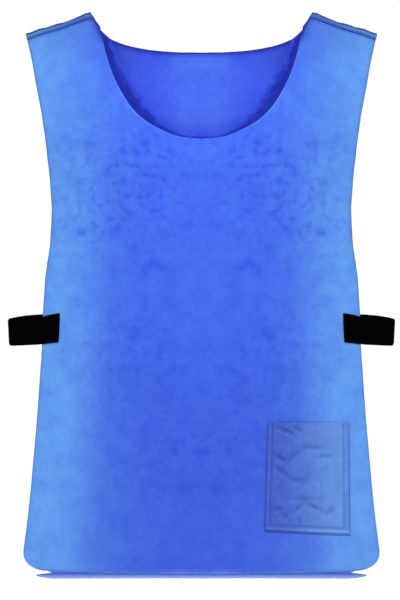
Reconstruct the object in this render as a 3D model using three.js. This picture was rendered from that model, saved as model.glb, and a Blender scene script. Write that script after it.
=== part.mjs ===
// Cooling vest, a pull-over tabard of wetted cloth, in the form that it has when worn.
// Millimetres, +Z up, +X to the wearer's left. The chest faces -Y. The origin lies midway between
// the neck ends of the two shoulder seams, where the vest rests on the wearer.
//
// Each panel is a height field: at a place across and a height it gives the distance in front of,
// or behind, the plane of the shoulder seams. The sections below the shoulders are parabolas, and
// the top of each panel falls away from the seam in a parabola too.

import * as THREE from "three";

// Neck and shoulders
const NECK_HALF_WIDTH = 128.8;
const FRONT_NECK_DROP = 152;
const BACK_NECK_DROP = 41.5;
const SHOULDER_HALF_WIDTH = 204.8;
const SHOULDER_FALL = 25.1;
const SHOULDER_CURVE_DROP = 90;

// Panels
const CHEST_HALF_WIDTH = 171.5;
const HEM_HALF_WIDTH = 203.5;
const FRONT_LENGTH = 645;
const BACK_LENGTH = 671;
const CHEST_DEPTH = 120;
const BACK_DEPTH = 105;
const CORNER_WIDTH = 28.7;
const CORNER_HEIGHT = 19.5;
const PANEL_THICKNESS = 2.4;
const FOLD_HEIGHT = 3;

// Shoulder seams: the turned allowance, stitched down over the joint of the two panels
const SEAM_FRONT_DROP = 7.4;
const SEAM_BACK_DROP = 2.4;
const SEAM_THICKNESS = 1.4;

// Side straps of woven elastic
const STRAP_WIDTH = 33;
const STRAP_THICKNESS = 1.6;
const STRAP_DROP = 367;
const STRAP_LAP = 18.7;
const STRAP_REACH = 41.5;
const STRAP_DROOP = 4.6;

// Patch pocket
const POCKET_INSET = 74.7;
const POCKET_WIDTH = 93.3;
const POCKET_DROP = 475;
const POCKET_HEIGHT = 124;
const POCKET_THICKNESS = 1;
const POCKET_SLACK = 1.8;
const CREASE_HEIGHT = 1.6;

// Clearances between pieces that are sewn together
const PANEL_GAP = 0.4;
const LAY_GAP = 0.5;

// Neckline of each panel, from the shoulder seam to the centre line.
// across: share of NECK_HALF_WIDTH. down: share of the panel's neck drop.
const FRONT_NECKLINE = [
  { down: 0, across: 1 },
  { down: 0.068, across: 0.952 },
  { down: 0.18, across: 0.898 },
  { down: 0.328, across: 0.852 },
  { down: 0.488, across: 0.789 },
  { down: 0.625, across: 0.708 },
  { down: 0.769, across: 0.594 },
  { down: 0.866, across: 0.479 },
  { down: 0.938, across: 0.34 },
  { down: 0.982, across: 0.188 },
  { down: 1, across: 0 },
];
const BACK_NECKLINE = [
  { down: 0, across: 1 },
  { down: 0.19, across: 0.96 },
  { down: 0.39, across: 0.94 },
  { down: 0.52, across: 0.905 },
  { down: 0.68, across: 0.825 },
  { down: 0.81, across: 0.72 },
  { down: 0.92, across: 0.59 },
  { down: 0.98, across: 0.42 },
  { down: 1, across: 0 },
];

// Side edge of both panels. down: share of the panel's length. shoulder and hem: how far the edge
// stands out from CHEST_HALF_WIDTH, as a share of the way to the shoulder's or the hem's half width.
const SIDE_EDGE = [
  { down: 0.039, shoulder: 1, hem: 0 },
  { down: 0.085, shoulder: 0.76, hem: 0 },
  { down: 0.145, shoulder: 0.52, hem: 0 },
  { down: 0.19, shoulder: 0.34, hem: 0 },
  { down: 0.25, shoulder: 0.18, hem: 0 },
  { down: 0.32, shoulder: 0.04, hem: 0 },
  { down: 0.37, shoulder: 0, hem: 0 },
  { down: 0.43, shoulder: 0, hem: 0.09 },
  { down: 0.475, shoulder: 0, hem: 0.22 },
  { down: 0.53, shoulder: 0, hem: 0.295 },
  { down: 0.61, shoulder: 0, hem: 0.356 },
  { down: 0.65, shoulder: 0, hem: 0.41 },
  { down: 0.72, shoulder: 0, hem: 0.51 },
  { down: 0.81, shoulder: 0, hem: 0.66 },
  { down: 0.9, shoulder: 0, hem: 0.84 },
  { down: 0.965, shoulder: 0, hem: 1 },
];

// Sections of each panel. down: share of the panel's length. crown and edge: how far the centre
// line and the side edge stand from the plane of the seams, as shares of the panel's depth.
const FRONT_SECTIONS = [
  { down: 0, crown: 0.8, edge: 0.5 },
  { down: 0.14, crown: 0.86, edge: 0.5 },
  { down: 0.25, crown: 0.95, edge: 0.51 },
  { down: 0.37, crown: 1, edge: 0.53 },
  { down: 0.55, crown: 0.985, edge: 0.58 },
  { down: 0.75, crown: 0.98, edge: 0.6 },
  { down: 1, crown: 1, edge: 0.62 },
];
const BACK_SECTIONS = [
  { down: 0, crown: 0.8, edge: 0.56 },
  { down: 0.14, crown: 0.92, edge: 0.6 },
  { down: 0.25, crown: 1, edge: 0.62 },
  { down: 0.4, crown: 0.98, edge: 0.66 },
  { down: 0.55, crown: 0.95, edge: 0.68 },
  { down: 0.75, crown: 0.97, edge: 0.7 },
  { down: 1, crown: 1, edge: 0.72 },
];

// Soft folds, each a long low swelling. across: share of CHEST_HALF_WIDTH. down, reach and
// breadth: shares of the panel's length. turn: degrees from level. height: share of FOLD_HEIGHT.
const FRONT_FOLDS = [
  { across: -0.52, down: 0.63, reach: 0.1, breadth: 0.035, turn: -28, height: 1 },
  { across: 0.52, down: 0.63, reach: 0.1, breadth: 0.035, turn: 28, height: 1 },
  { across: -0.5, down: 0.4, reach: 0.09, breadth: 0.035, turn: 34, height: 0.8 },
  { across: 0.5, down: 0.4, reach: 0.09, breadth: 0.035, turn: -34, height: 0.8 },
  { across: -0.14, down: 1, reach: 0.05, breadth: 0.05, turn: 90, height: 0.9 },
  { across: 0.13, down: 1, reach: 0.05, breadth: 0.05, turn: 90, height: 0.9 },
];
const BACK_FOLDS = [
  { across: -0.5, down: 0.62, reach: 0.11, breadth: 0.04, turn: -26, height: 1 },
  { across: 0.5, down: 0.62, reach: 0.11, breadth: 0.04, turn: 26, height: 1 },
  { across: -0.3, down: 0.93, reach: 0.09, breadth: 0.045, turn: 84, height: 0.9 },
  { across: 0.34, down: 0.93, reach: 0.09, breadth: 0.045, turn: -84, height: 0.9 },
];

// Outline of a strap from its sewn end to its furthest point. along: share of that way.
// top and bottom: shares of half the strap's width. It is pinched where it leaves the panel.
const STRAP_OUTLINE = [
  { along: 0, top: 1, bottom: 1 },
  { along: 0.22, top: 0.87, bottom: 1 },
  { along: 0.34, top: 0.96, bottom: 0.97 },
  { along: 0.7, top: 1, bottom: 1 },
  { along: 1, top: 0.92, bottom: 0.95 },
];

// Creases of the pocket. across and down: the middle of the crease, as shares of the pocket.
// reach and breadth: shares of POCKET_HEIGHT. turn: degrees from level. height: of CREASE_HEIGHT.
const POCKET_CREASES = [
  { across: 0.2, down: 0.08, reach: 0.16, breadth: 0.04, turn: -30, height: 0.7 },
  { across: 0.2, down: 0.32, reach: 0.12, breadth: 0.05, turn: -24, height: 1 },
  { across: 0.52, down: 0.3, reach: 0.16, breadth: 0.05, turn: 22, height: 0.9 },
  { across: 0.3, down: 0.47, reach: 0.16, breadth: 0.05, turn: -22, height: 0.8 },
  { across: 0.5, down: 0.76, reach: 0.12, breadth: 0.045, turn: 30, height: 0.8 },
  { across: 0.72, down: 0.78, reach: 0.14, breadth: 0.05, turn: -20, height: 1 },
];

// Corners of the pocket, which is sewn on a little askew, as shares of its width and height.
const POCKET_CORNERS = {
  topInner: { across: 0, down: 0 },
  topOuter: { across: 1, down: 0.01 },
  bottomInner: { across: -0.036, down: 0.98 },
  bottomOuter: { across: 1.012, down: 1.032 },
};

// Grid of the panels and pieces, in cells
const NECK_COLUMNS = 10;
const SHOULDER_COLUMNS = 5;
const CORNER_COLUMNS = 3;
const FRONT_ROWS = 28;
const BACK_ROWS = 22;
const ROW_CROWDING = 1.5;
const SEAM_ROWS = 4;
const STRAP_LAP_CELLS = 3;
const STRAP_FREE_CELLS = 16;
const STRAP_ROWS = 2;
const POCKET_COLUMNS = 14;
const POCKET_ROWS = 18;

// Working steps: the span over which a slope is measured, and the passes that find an edge
const SLOPE_SPAN = 0.5;
const EDGE_PASSES = 8;

const FRONT = {
  side: -1,
  length: FRONT_LENGTH,
  depth: CHEST_DEPTH,
  neckDrop: FRONT_NECK_DROP,
  neckline: FRONT_NECKLINE,
  sections: FRONT_SECTIONS,
  folds: FRONT_FOLDS,
  rows: FRONT_ROWS,
};
const BACK = {
  side: 1,
  length: BACK_LENGTH,
  depth: BACK_DEPTH,
  neckDrop: BACK_NECK_DROP,
  neckline: BACK_NECKLINE,
  sections: BACK_SECTIONS,
  folds: BACK_FOLDS,
  rows: BACK_ROWS,
};

// Reads one column of a table at a place, on a smooth curve through its rows, flat past its ends.
function readTable(table, key, place, column) {
  const last = table.length - 1;
  if (place <= table[0][key]) return table[0][column];
  if (place >= table[last][key]) return table[last][column];
  const i = table.findIndex((row) => row[key] > place) - 1;
  const slope = (a, b) => (table[b][column] - table[a][column]) / (table[b][key] - table[a][key]);
  const step = table[i + 1][key] - table[i][key];
  const startSlope = i > 0 ? slope(i - 1, i + 1) : slope(i, i + 1);
  const endSlope = i + 1 < last ? slope(i, i + 2) : slope(i, i + 1);
  const t = (place - table[i][key]) / step;
  const ease = t * t * (3 - 2 * t);
  const blend = table[i][column] * (1 - ease) + table[i + 1][column] * ease;
  return blend + step * t * (1 - t) * (startSlope * (1 - t) - endSlope * t);
}

// Sum of low swellings, each a rounded ridge about its own middle.
function swell(ridges, x, z, scale) {
  return ridges.reduce((sum, ridge) => {
    const turn = THREE.MathUtils.degToRad(ridge.turn);
    const dx = x - ridge.across * scale.across;
    const dz = z + ridge.down * scale.down;
    const along = (dx * Math.cos(turn) + dz * Math.sin(turn)) / (ridge.reach * scale.size);
    const off = (dz * Math.cos(turn) - dx * Math.sin(turn)) / (ridge.breadth * scale.size);
    return sum + ridge.height * scale.height * Math.exp(-along * along - off * off);
  }, 0);
}

function shoulderHeight(x) {
  const slope = SHOULDER_FALL / (SHOULDER_HALF_WIDTH - NECK_HALF_WIDTH);
  return slope * (NECK_HALF_WIDTH - Math.abs(x));
}

function sideEdge(panel, z) {
  const down = -z / panel.length;
  const toShoulder = readTable(SIDE_EDGE, "down", down, "shoulder");
  const toHem = readTable(SIDE_EDGE, "down", down, "hem");
  return (
    CHEST_HALF_WIDTH +
    toShoulder * (SHOULDER_HALF_WIDTH - CHEST_HALF_WIDTH) +
    toHem * (HEM_HALF_WIDTH - CHEST_HALF_WIDTH)
  );
}

function neckEdge(panel, z) {
  return NECK_HALF_WIDTH * readTable(panel.neckline, "down", -z / panel.neckDrop, "across");
}

// Signed distance of a panel's outer face from the plane of the seams.
function panelDepth(panel, x, z) {
  const down = -z / panel.length;
  const crown = readTable(panel.sections, "down", down, "crown") * panel.depth;
  const edge = readTable(panel.sections, "down", down, "edge") * panel.depth;
  const across = x / sideEdge(panel, z);
  const open = Math.min(1, Math.max(0, (shoulderHeight(x) - z) / SHOULDER_CURVE_DROP));
  const fall = 1 - (1 - open) * (1 - open);
  const folds = swell(panel.folds, x, z, {
    across: CHEST_HALF_WIDTH,
    down: panel.length,
    size: panel.length,
    height: FOLD_HEIGHT,
  });
  return panel.side * (PANEL_GAP / 2 + fall * (crown - (crown - edge) * across * across + folds));
}

function panelNormal(panel, x, z) {
  const half = SLOPE_SPAN / 2;
  const acrossStep = panelDepth(panel, x + half, z) - panelDepth(panel, x - half, z);
  const upStep = panelDepth(panel, x, z) - panelDepth(panel, x, z - SLOPE_SPAN);
  const normal = new THREE.Vector3(-acrossStep, SLOPE_SPAN, -upStep).normalize();
  return normal.multiplyScalar(panel.side);
}

// A point that stands a height off a panel's outer face. Negative heights lie inside its cloth.
function offPanel(panel, x, z, height) {
  const point = new THREE.Vector3(x, panelDepth(panel, x, z), z);
  return point.addScaledVector(panelNormal(panel, x, z), height);
}

// Closed shell between two grids of points of the same size, joined by a rim.
function shellGeometry(outer, inner) {
  const rows = outer.length;
  const columns = outer[0].length;
  const points = [...outer.flat(), ...inner.flat()];
  const skin = rows * columns;
  const faces = [];
  const addQuad = (a, b, c, d) => {
    const straight = points[a].distanceTo(points[c]) <= points[b].distanceTo(points[d]);
    if (straight) faces.push([a, b, c], [a, c, d]);
    else faces.push([a, b, d], [b, c, d]);
  };
  for (let i = 0; i + 1 < rows; i += 1) {
    for (let j = 0; j + 1 < columns; j += 1) {
      const a = i * columns + j;
      addQuad(a, a + columns, a + columns + 1, a + 1);
      addQuad(a + skin, a + skin + 1, a + skin + columns + 1, a + skin + columns);
    }
  }
  const rim = [];
  for (let j = 0; j < columns; j += 1) rim.push(j);
  for (let i = 1; i < rows; i += 1) rim.push(i * columns + columns - 1);
  for (let j = columns - 2; j >= 0; j -= 1) rim.push((rows - 1) * columns + j);
  for (let i = rows - 2; i > 0; i -= 1) rim.push(i * columns);
  rim.forEach((a, k) => {
    const b = rim[(k + 1) % rim.length];
    addQuad(a, b, b + skin, a + skin);
  });
  const volume = faces.reduce((sum, [a, b, c]) => {
    return sum + points[a].dot(points[b].clone().cross(points[c]));
  }, 0);
  const index = volume > 0 ? faces : faces.map(([a, b, c]) => [a, c, b]);
  const geometry = new THREE.BufferGeometry().setFromPoints(points);
  geometry.setIndex(index.flat());
  geometry.computeVertexNormals();
  return geometry;
}

// Top edge of half a panel: the neckline from the centre line, then the shoulder seam.
function panelTop(panel) {
  const neckline = new THREE.SplineCurve(
    panel.neckline.map(
      (row) => new THREE.Vector2(row.across * NECK_HALF_WIDTH, -row.down * panel.neckDrop),
    ),
  );
  const neck = neckline.getSpacedPoints(NECK_COLUMNS).reverse();
  const seam = [];
  for (let j = 1; j <= SHOULDER_COLUMNS; j += 1) {
    const x = THREE.MathUtils.lerp(NECK_HALF_WIDTH, SHOULDER_HALF_WIDTH, j / SHOULDER_COLUMNS);
    seam.push(new THREE.Vector2(x, shoulderHeight(x)));
  }
  return [...neck, ...seam];
}

// Bottom edge of half a panel: the hem from the centre line, then its rounded corner.
function panelBottom(panel) {
  const level = NECK_COLUMNS + SHOULDER_COLUMNS - CORNER_COLUMNS;
  const cornerX = sideEdge(panel, CORNER_HEIGHT - panel.length) - CORNER_WIDTH;
  const points = [];
  for (let j = 0; j <= level; j += 1) {
    points.push(new THREE.Vector2((cornerX * j) / level, -panel.length));
  }
  for (let j = 1; j <= CORNER_COLUMNS; j += 1) {
    const turn = ((j / CORNER_COLUMNS) * Math.PI) / 2;
    const x = cornerX + CORNER_WIDTH * Math.sin(turn);
    points.push(new THREE.Vector2(x, -panel.length + CORNER_HEIGHT * (1 - Math.cos(turn))));
  }
  return points;
}

// Front or back panel: columns run from the top edge to the hem and keep their share of the width.
function panelGeometry(panel) {
  const top = panelTop(panel);
  const bottom = panelBottom(panel);
  const last = top.length - 1;
  const outer = [];
  const inner = [];
  for (let i = 0; i <= panel.rows; i += 1) {
    const way = (i / panel.rows) ** ROW_CROWDING;
    const outerRow = [];
    const innerRow = [];
    for (let j = -last; j <= last; j += 1) {
      const start = top[Math.abs(j)];
      const end = bottom[Math.abs(j)];
      const z = THREE.MathUtils.lerp(start.y, end.y, way);
      const startShare = start.x / sideEdge(panel, start.y);
      const endShare = end.x / sideEdge(panel, end.y);
      const share = THREE.MathUtils.lerp(startShare, endShare, way);
      const x = Math.sign(j) * share * sideEdge(panel, z);
      const face = offPanel(panel, x, z, 0);
      const onSeam = i === 0 && Math.abs(j) >= NECK_COLUMNS;
      outerRow.push(face);
      innerRow.push(
        onSeam ? seamFoot(panel, x, z, face) : offPanel(panel, x, z, -PANEL_THICKNESS),
      );
    }
    outer.push(outerRow);
    inner.push(innerRow);
  }
  return shellGeometry(outer, inner);
}

// On the seam the wall of a panel is cut upright, so that the two panels meet face to face.
function seamFoot(panel, x, z, face) {
  const rise = panelNormal(panel, x, z).z;
  return face.clone().setZ(face.z - PANEL_THICKNESS / rise);
}

// The place on an edge of a panel that lies a given drop below the shoulder line.
function edgeBelowSeam(edge, panel, drop) {
  let x = edge(panel, 0);
  for (let pass = 0; pass < EDGE_PASSES; pass += 1) x = edge(panel, shoulderHeight(x) - drop);
  return x;
}

// Stitched seam of one shoulder: a strip folded over the ridge where the two panels meet.
function seamGeometry(hand) {
  const lines = [];
  for (let i = SEAM_ROWS; i > 0; i -= 2) {
    lines.push({ panel: BACK, drop: (SEAM_BACK_DROP * i) / SEAM_ROWS });
  }
  lines.push({ panel: FRONT, drop: 0 });
  for (let i = 1; i <= SEAM_ROWS; i += 1) {
    lines.push({ panel: FRONT, drop: (SEAM_FRONT_DROP * i) / SEAM_ROWS });
  }
  const strip = (height) =>
    lines.map(({ panel, drop }) => {
      const neckX = edgeBelowSeam(neckEdge, panel, drop);
      const armX = edgeBelowSeam(sideEdge, panel, drop);
      const row = [];
      for (let j = 0; j <= SHOULDER_COLUMNS; j += 1) {
        const x = THREE.MathUtils.lerp(neckX, armX, j / SHOULDER_COLUMNS);
        const z = shoulderHeight(x) - drop;
        row.push(drop > 0 ? offPanel(panel, hand * x, z, height) : offRidge(hand * x, height));
      }
      return row;
    });
  return shellGeometry(strip(LAY_GAP + SEAM_THICKNESS), strip(LAY_GAP));
}

// A point above the ridge of the shoulder, at an equal height off both panels.
function offRidge(x, height) {
  const z = shoulderHeight(x);
  const front = panelNormal(FRONT, x, z);
  const middle = front.clone().add(panelNormal(BACK, x, z)).normalize();
  return new THREE.Vector3(x, 0, z).addScaledVector(middle, height / middle.dot(front));
}

// Side strap: sewn flat on both panels, with a free loop between them that stands out sideways.
function strapGeometry(hand) {
  const cells = 2 * STRAP_LAP_CELLS + STRAP_FREE_CELLS;
  const outer = [];
  const inner = [];
  for (let i = 0; i <= STRAP_ROWS; i += 1) {
    const level = 1 - (2 * i) / STRAP_ROWS;
    const outerRow = [];
    const innerRow = [];
    for (let j = 0; j <= cells; j += 1) {
      const z = strapHeight(j / cells, level);
      innerRow.push(strapPoint(hand, j, z, LAY_GAP));
      outerRow.push(strapPoint(hand, j, z, LAY_GAP + STRAP_THICKNESS));
    }
    outer.push(outerRow);
    inner.push(innerRow);
  }
  return shellGeometry(outer, inner);
}

// Height of the strap at a share of its whole length, from its top edge (1) to its bottom (-1).
function strapHeight(share, level) {
  const along = 1 - Math.abs(2 * share - 1);
  const edge = level > 0 ? "top" : "bottom";
  const half = (STRAP_WIDTH / 2) * readTable(STRAP_OUTLINE, "along", along, edge);
  const droop = (STRAP_DROOP * (1 - Math.cos(Math.PI * along))) / 2;
  return -STRAP_DROP - droop + level * half;
}

function strapPoint(hand, cell, z, height) {
  const fromBack = 2 * STRAP_LAP_CELLS + STRAP_FREE_CELLS - cell;
  const panel = cell < fromBack ? FRONT : BACK;
  const lapCell = Math.min(cell, fromBack);
  if (lapCell <= STRAP_LAP_CELLS) {
    const x = sideEdge(panel, z) - STRAP_LAP * (1 - lapCell / STRAP_LAP_CELLS);
    return offPanel(panel, hand * x, z, height);
  }
  const start = strapLeave(FRONT, z);
  const end = strapLeave(BACK, z);
  // The middle of a cubic stands out by three eighths of what its two handles reach together.
  const handle = (STRAP_REACH * 8) / 3 / (start.way.x + end.way.x);
  const loop = new THREE.CubicBezierCurve(
    start.place,
    start.place.clone().addScaledVector(start.way, handle),
    end.place.clone().addScaledVector(end.way, handle),
    end.place,
  );
  const t = (cell - STRAP_LAP_CELLS) / STRAP_FREE_CELLS;
  const place = loop.getPoint(t);
  const way = loop.getTangent(t);
  const thickness = height - LAY_GAP;
  return new THREE.Vector3(
    hand * (place.x + way.y * thickness),
    place.y - way.x * thickness,
    z,
  );
}

// Where the strap's inner face leaves a panel's side edge, seen from above, and its way from there.
function strapLeave(panel, z) {
  const x = sideEdge(panel, z);
  const point = offPanel(panel, x, z, LAY_GAP);
  const normal = panelNormal(panel, x, z);
  return {
    place: new THREE.Vector2(point.x, point.y),
    way: new THREE.Vector2(-normal.y * panel.side, normal.x * panel.side).normalize().negate(),
  };
}

// Patch pocket: its sides and bottom are sewn down, its mouth is slack, and it is creased.
function pocketGeometry() {
  const outer = [];
  const inner = [];
  for (let i = 0; i <= POCKET_ROWS; i += 1) {
    const outerRow = [];
    const innerRow = [];
    for (let j = 0; j <= POCKET_COLUMNS; j += 1) {
      const across = j / POCKET_COLUMNS;
      const down = i / POCKET_ROWS;
      const { x, z } = pocketPlace(across, down);
      const lift = LAY_GAP + pocketLift(across, down);
      innerRow.push(offPanel(FRONT, x, z, lift));
      outerRow.push(offPanel(FRONT, x, z, lift + POCKET_THICKNESS));
    }
    outer.push(outerRow);
    inner.push(innerRow);
  }
  return shellGeometry(outer, inner);
}

function pocketPlace(across, down) {
  const corner = POCKET_CORNERS;
  const mix = (key) =>
    (1 - down) * ((1 - across) * corner.topInner[key] + across * corner.topOuter[key]) +
    down * ((1 - across) * corner.bottomInner[key] + across * corner.bottomOuter[key]);
  return {
    x: POCKET_INSET + POCKET_WIDTH * mix("across"),
    z: -POCKET_DROP - POCKET_HEIGHT * mix("down"),
  };
}

// Height of the pocket's cloth off the seat of its stitching, zero along its sewn edges.
function pocketLift(across, down) {
  const sewn = Math.sin(Math.PI * across) * Math.cos((Math.PI / 2) * down ** 3);
  const creases = swell(POCKET_CREASES, across * POCKET_WIDTH, -down * POCKET_HEIGHT, {
    across: POCKET_WIDTH,
    down: POCKET_HEIGHT,
    size: POCKET_HEIGHT,
    height: CREASE_HEIGHT,
  });
  return Math.sqrt(Math.max(0, sewn)) * (POCKET_SLACK + creases);
}

const coolingCloth = { color: 0x4a7cec, roughness: 0.85, metalness: 0 };
const seamCloth = { color: 0x5f93e0, roughness: 0.85, metalness: 0 };
const wovenElastic = { color: 0x050507, roughness: 0.9, metalness: 0 };
const pocketNylon = { color: 0x5f86d2, roughness: 0.55, metalness: 0 };

const vest = new THREE.Group();
vest.name = "cooling_vest";

function addPiece(name, geometry, look) {
  const mesh = new THREE.Mesh(geometry, new THREE.MeshStandardMaterial(look));
  mesh.name = name;
  vest.add(mesh);
}

addPiece("front_panel", panelGeometry(FRONT), coolingCloth);
addPiece("back_panel", panelGeometry(BACK), coolingCloth);
for (const [side, hand] of Object.entries({ left: 1, right: -1 })) {
  addPiece(`shoulder_seam_${side}`, seamGeometry(hand), seamCloth);
  addPiece(`side_strap_${side}`, strapGeometry(hand), wovenElastic);
}
addPiece("front_pocket", pocketGeometry(), pocketNylon);

export default vest;
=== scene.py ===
"""Cooling vest: a pull-over tabard of crinkled cooling cloth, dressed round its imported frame.

Metres, +Z up, +X to the wearer's left, the chest facing -Y. The origin lies midway between the neck
ends of the shoulder seams. Each panel is a height field: at a place across and a height it gives the
distance in front of, or behind, the plane of the seams, and every other piece is laid on the panels.
"""

import math

import bpy
import numpy as np
from bpy.props import FloatProperty, FloatVectorProperty, IntProperty, PointerProperty
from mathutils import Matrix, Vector


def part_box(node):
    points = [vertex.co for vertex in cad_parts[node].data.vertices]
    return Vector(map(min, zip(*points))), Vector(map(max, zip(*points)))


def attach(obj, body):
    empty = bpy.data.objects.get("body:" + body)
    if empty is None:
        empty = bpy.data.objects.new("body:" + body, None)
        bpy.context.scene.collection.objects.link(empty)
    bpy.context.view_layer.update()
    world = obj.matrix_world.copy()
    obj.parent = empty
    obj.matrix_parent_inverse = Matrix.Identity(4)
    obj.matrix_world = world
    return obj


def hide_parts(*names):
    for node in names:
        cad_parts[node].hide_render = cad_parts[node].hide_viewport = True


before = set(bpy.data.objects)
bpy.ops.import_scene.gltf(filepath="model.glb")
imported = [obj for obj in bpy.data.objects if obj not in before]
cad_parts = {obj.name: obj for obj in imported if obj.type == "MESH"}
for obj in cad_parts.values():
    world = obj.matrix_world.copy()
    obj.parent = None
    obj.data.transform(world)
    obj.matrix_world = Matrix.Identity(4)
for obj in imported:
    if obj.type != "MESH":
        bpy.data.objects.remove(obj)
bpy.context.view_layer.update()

bl_info = {
    "name": "Cooling vest",
    "version": (1, 0, 0),
    "blender": (4, 5, 0),
    "location": "3D View > Sidebar > Vest",
    "description": "Makes the panels, seams, straps and pocket of a cooling vest round its frame",
    "category": "Object",
}

MM = 0.001
FRONT_LOW, FRONT_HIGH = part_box("front_panel")
BACK_LOW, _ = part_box("back_panel")
HANDS = {"left": 1, "right": -1}

# Neckline of each panel, from the shoulder seam to the centre line.
# across: share of the neck's half width. down: share of the panel's neck drop.
FRONT_NECKLINE = {
    "down": (0, 0.068, 0.18, 0.328, 0.488, 0.625, 0.769, 0.866, 0.938, 0.982, 1),
    "across": (1, 0.952, 0.898, 0.857, 0.798, 0.723, 0.613, 0.486, 0.334, 0.186, 0),
}
BACK_NECKLINE = {
    "down": (0, 0.19, 0.39, 0.51, 0.665, 0.795, 0.885, 0.955, 0.99, 1),
    "across": (1, 0.965, 0.945, 0.91, 0.83, 0.72, 0.59, 0.42, 0.22, 0),
}

# Side edge of both panels. down: share of the length. shoulder and hem: how far the edge stands out
# from the chest's half width, as a share of the way to the shoulder's or the hem's.
SIDE_EDGE = {
    "down": (
        0.039, 0.085, 0.145, 0.19, 0.25, 0.32, 0.37, 0.43,
        0.475, 0.53, 0.61, 0.65, 0.72, 0.81, 0.9, 0.965,
    ),
    "shoulder": (
        1, 0.77, 0.535, 0.365, 0.2, 0.055, 0.012, 0,
        0, 0, 0, 0, 0, 0, 0, 0,
    ),
    "hem": (
        0, 0, 0, 0, 0, 0, 0, 0.09,
        0.22, 0.295, 0.356, 0.41, 0.51, 0.66, 0.84, 1,
    ),
}

# Sections of each panel. down: share of the length. crown and edge: how far the centre line and the
# side edge stand from the plane of the seams, as shares of the panel's depth.
FRONT_SECTIONS = {
    "down": (0, 0.14, 0.25, 0.37, 0.55, 0.75, 1),
    "crown": (0.8, 0.86, 0.95, 1, 0.985, 0.98, 1),
    "edge": (0.5, 0.5, 0.51, 0.53, 0.58, 0.6, 0.62),
}
BACK_SECTIONS = {
    "down": (0, 0.14, 0.25, 0.4, 0.55, 0.75, 1),
    "crown": (0.8, 0.92, 1, 0.98, 0.95, 0.97, 1),
    "edge": (0.56, 0.6, 0.62, 0.66, 0.68, 0.7, 0.72),
}

# Soft folds, each a long low swelling. across: share of the chest's half width. down, reach and
# breadth: shares of the panel's length. turn: degrees from level. height: share of the fold height.
FRONT_FOLDS = {
    "across": (-0.52, 0.52, -0.5, 0.5, -0.14, 0.13),
    "down": (0.63, 0.63, 0.4, 0.4, 1, 1),
    "reach": (0.1, 0.1, 0.09, 0.09, 0.05, 0.05),
    "breadth": (0.035, 0.035, 0.035, 0.035, 0.05, 0.05),
    "turn": (-28, 28, 34, -34, 90, 90),
    "height": (1, 1, 0.8, 0.8, 0.9, 0.9),
}
BACK_FOLDS = {
    "across": (-0.5, 0.5, -0.3, 0.34),
    "down": (0.62, 0.62, 0.93, 0.93),
    "reach": (0.11, 0.11, 0.09, 0.09),
    "breadth": (0.04, 0.04, 0.045, 0.045),
    "turn": (-26, 26, 84, -84),
    "height": (1, 1, 0.9, 0.9),
}

# Small sharp creases pressed into the cloth, the same on both sides of the centre line, with the
# columns of the folds. reach and breadth: shares of the length. height: share of the crease height.
CREASES = {
    "across": (
        0.515, 0.47, 0.57, 0.44, 0.8, 0.7, 0.34, 0.27, 0.22,
        0.43, 0.3, 0.23, 0.12, 0.02, 0.85, 0.3, 0.6, 0.08,
    ),
    "down": (
        0.379, 0.362, 0.4, 0.258, 0.4, 0.42, 0.46, 0.465, 0.405,
        0.578, 0.66, 0.65, 0.852, 0.79, 0.52, 0.3, 0.27, 0.73,
    ),
    "reach": (
        0.03, 0.02, 0.02, 0.01, 0.014, 0.018, 0.016, 0.01, 0.02,
        0.012, 0.016, 0.02, 0.012, 0.02, 0.01, 0.018, 0.014, 0.02,
    ),
    "breadth": (
        0.006, 0.005, 0.006, 0.006, 0.006, 0.006, 0.006, 0.006, 0.008,
        0.008, 0.006, 0.006, 0.007, 0.013, 0.01, 0.007, 0.007, 0.007,
    ),
    "turn": (
        -37, -30, -42, 80, -35, 85, -32, 10, 0,
        -50, 40, -38, 35, 0, 0, 20, -60, 12,
    ),
    "height": (
        -1, 0.9, -0.8, -0.9, -0.5, -0.4, -1, -0.8, -0.5,
        -0.9, -0.8, -0.8, -0.9, -0.8, -0.7, -0.6, -0.7, 0.6,
    ),
}

# Where the cloth is crinkled most, with the columns of the folds. height: added to the least crinkling.
CRINKLED = {
    "across": (0.44, 0.75, 0.5, 0.15),
    "down": (0.3, 0.4, 0.6, 0.78),
    "reach": (0.11, 0.08, 0.12, 0.12),
    "breadth": (0.11, 0.07, 0.1, 0.1),
    "turn": (0, 0, 0, 0),
    "height": (1, 0.4, 0.5, 0.4),
}

# Painted light: how the cloth's colour goes from the royal blue of its middle to the lighter azure
# painted on its sides, as the light falls on them. down: share of the length. start and end: shares
# of the half width. firm: share of a firmer step.
WASH = {
    "down": (0.1, 0.17, 0.29, 0.43, 0.57, 0.75, 0.93),
    "start": (0.4, 0.3, 0.3, 0.36, 0.34, 0.2, 0.1),
    "end": (1.06, 1.2, 1.25, 1.12, 1.12, 1.12, 1.16),
    "firm": (0, 0, 0.1, 0.2, 0.35, 0.45, 0.45),
}

# Outline of a strap from its sewn end to its furthest point. along: share of that way. top and
# bottom: shares of half the strap's width. It is pinched where it leaves the panel.
STRAP_OUTLINE = {
    "along": (0, 0.2, 0.27, 0.33, 0.7, 0.93, 1),
    "top": (1, 0.86, 0.79, 0.95, 0.9, 0.85, 0.84),
    "bottom": (1, 1.09, 1.1, 1.12, 1.06, 1, 0.97),
}

# Share of a strap's way that is sewn on each panel, and how much further out its top edge stands than
# its middle, as a share of its reach
STRAP_LAP_SHARE = 3 / 22
STRAP_LEAN = 0.03

# Waves of the shoulder line. along: share of the seam from the neck. rise: share of the wave height.
SHOULDER_WAVES = {
    "along": (0, 0.08, 0.14, 0.27, 0.4, 0.53, 0.66, 0.79, 0.92, 1),
    "rise": (-0.9, -0.4, -0.8, -1.7, -2.1, -1.3, -1.5, -0.6, -1.1, -0.8),
}

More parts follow.
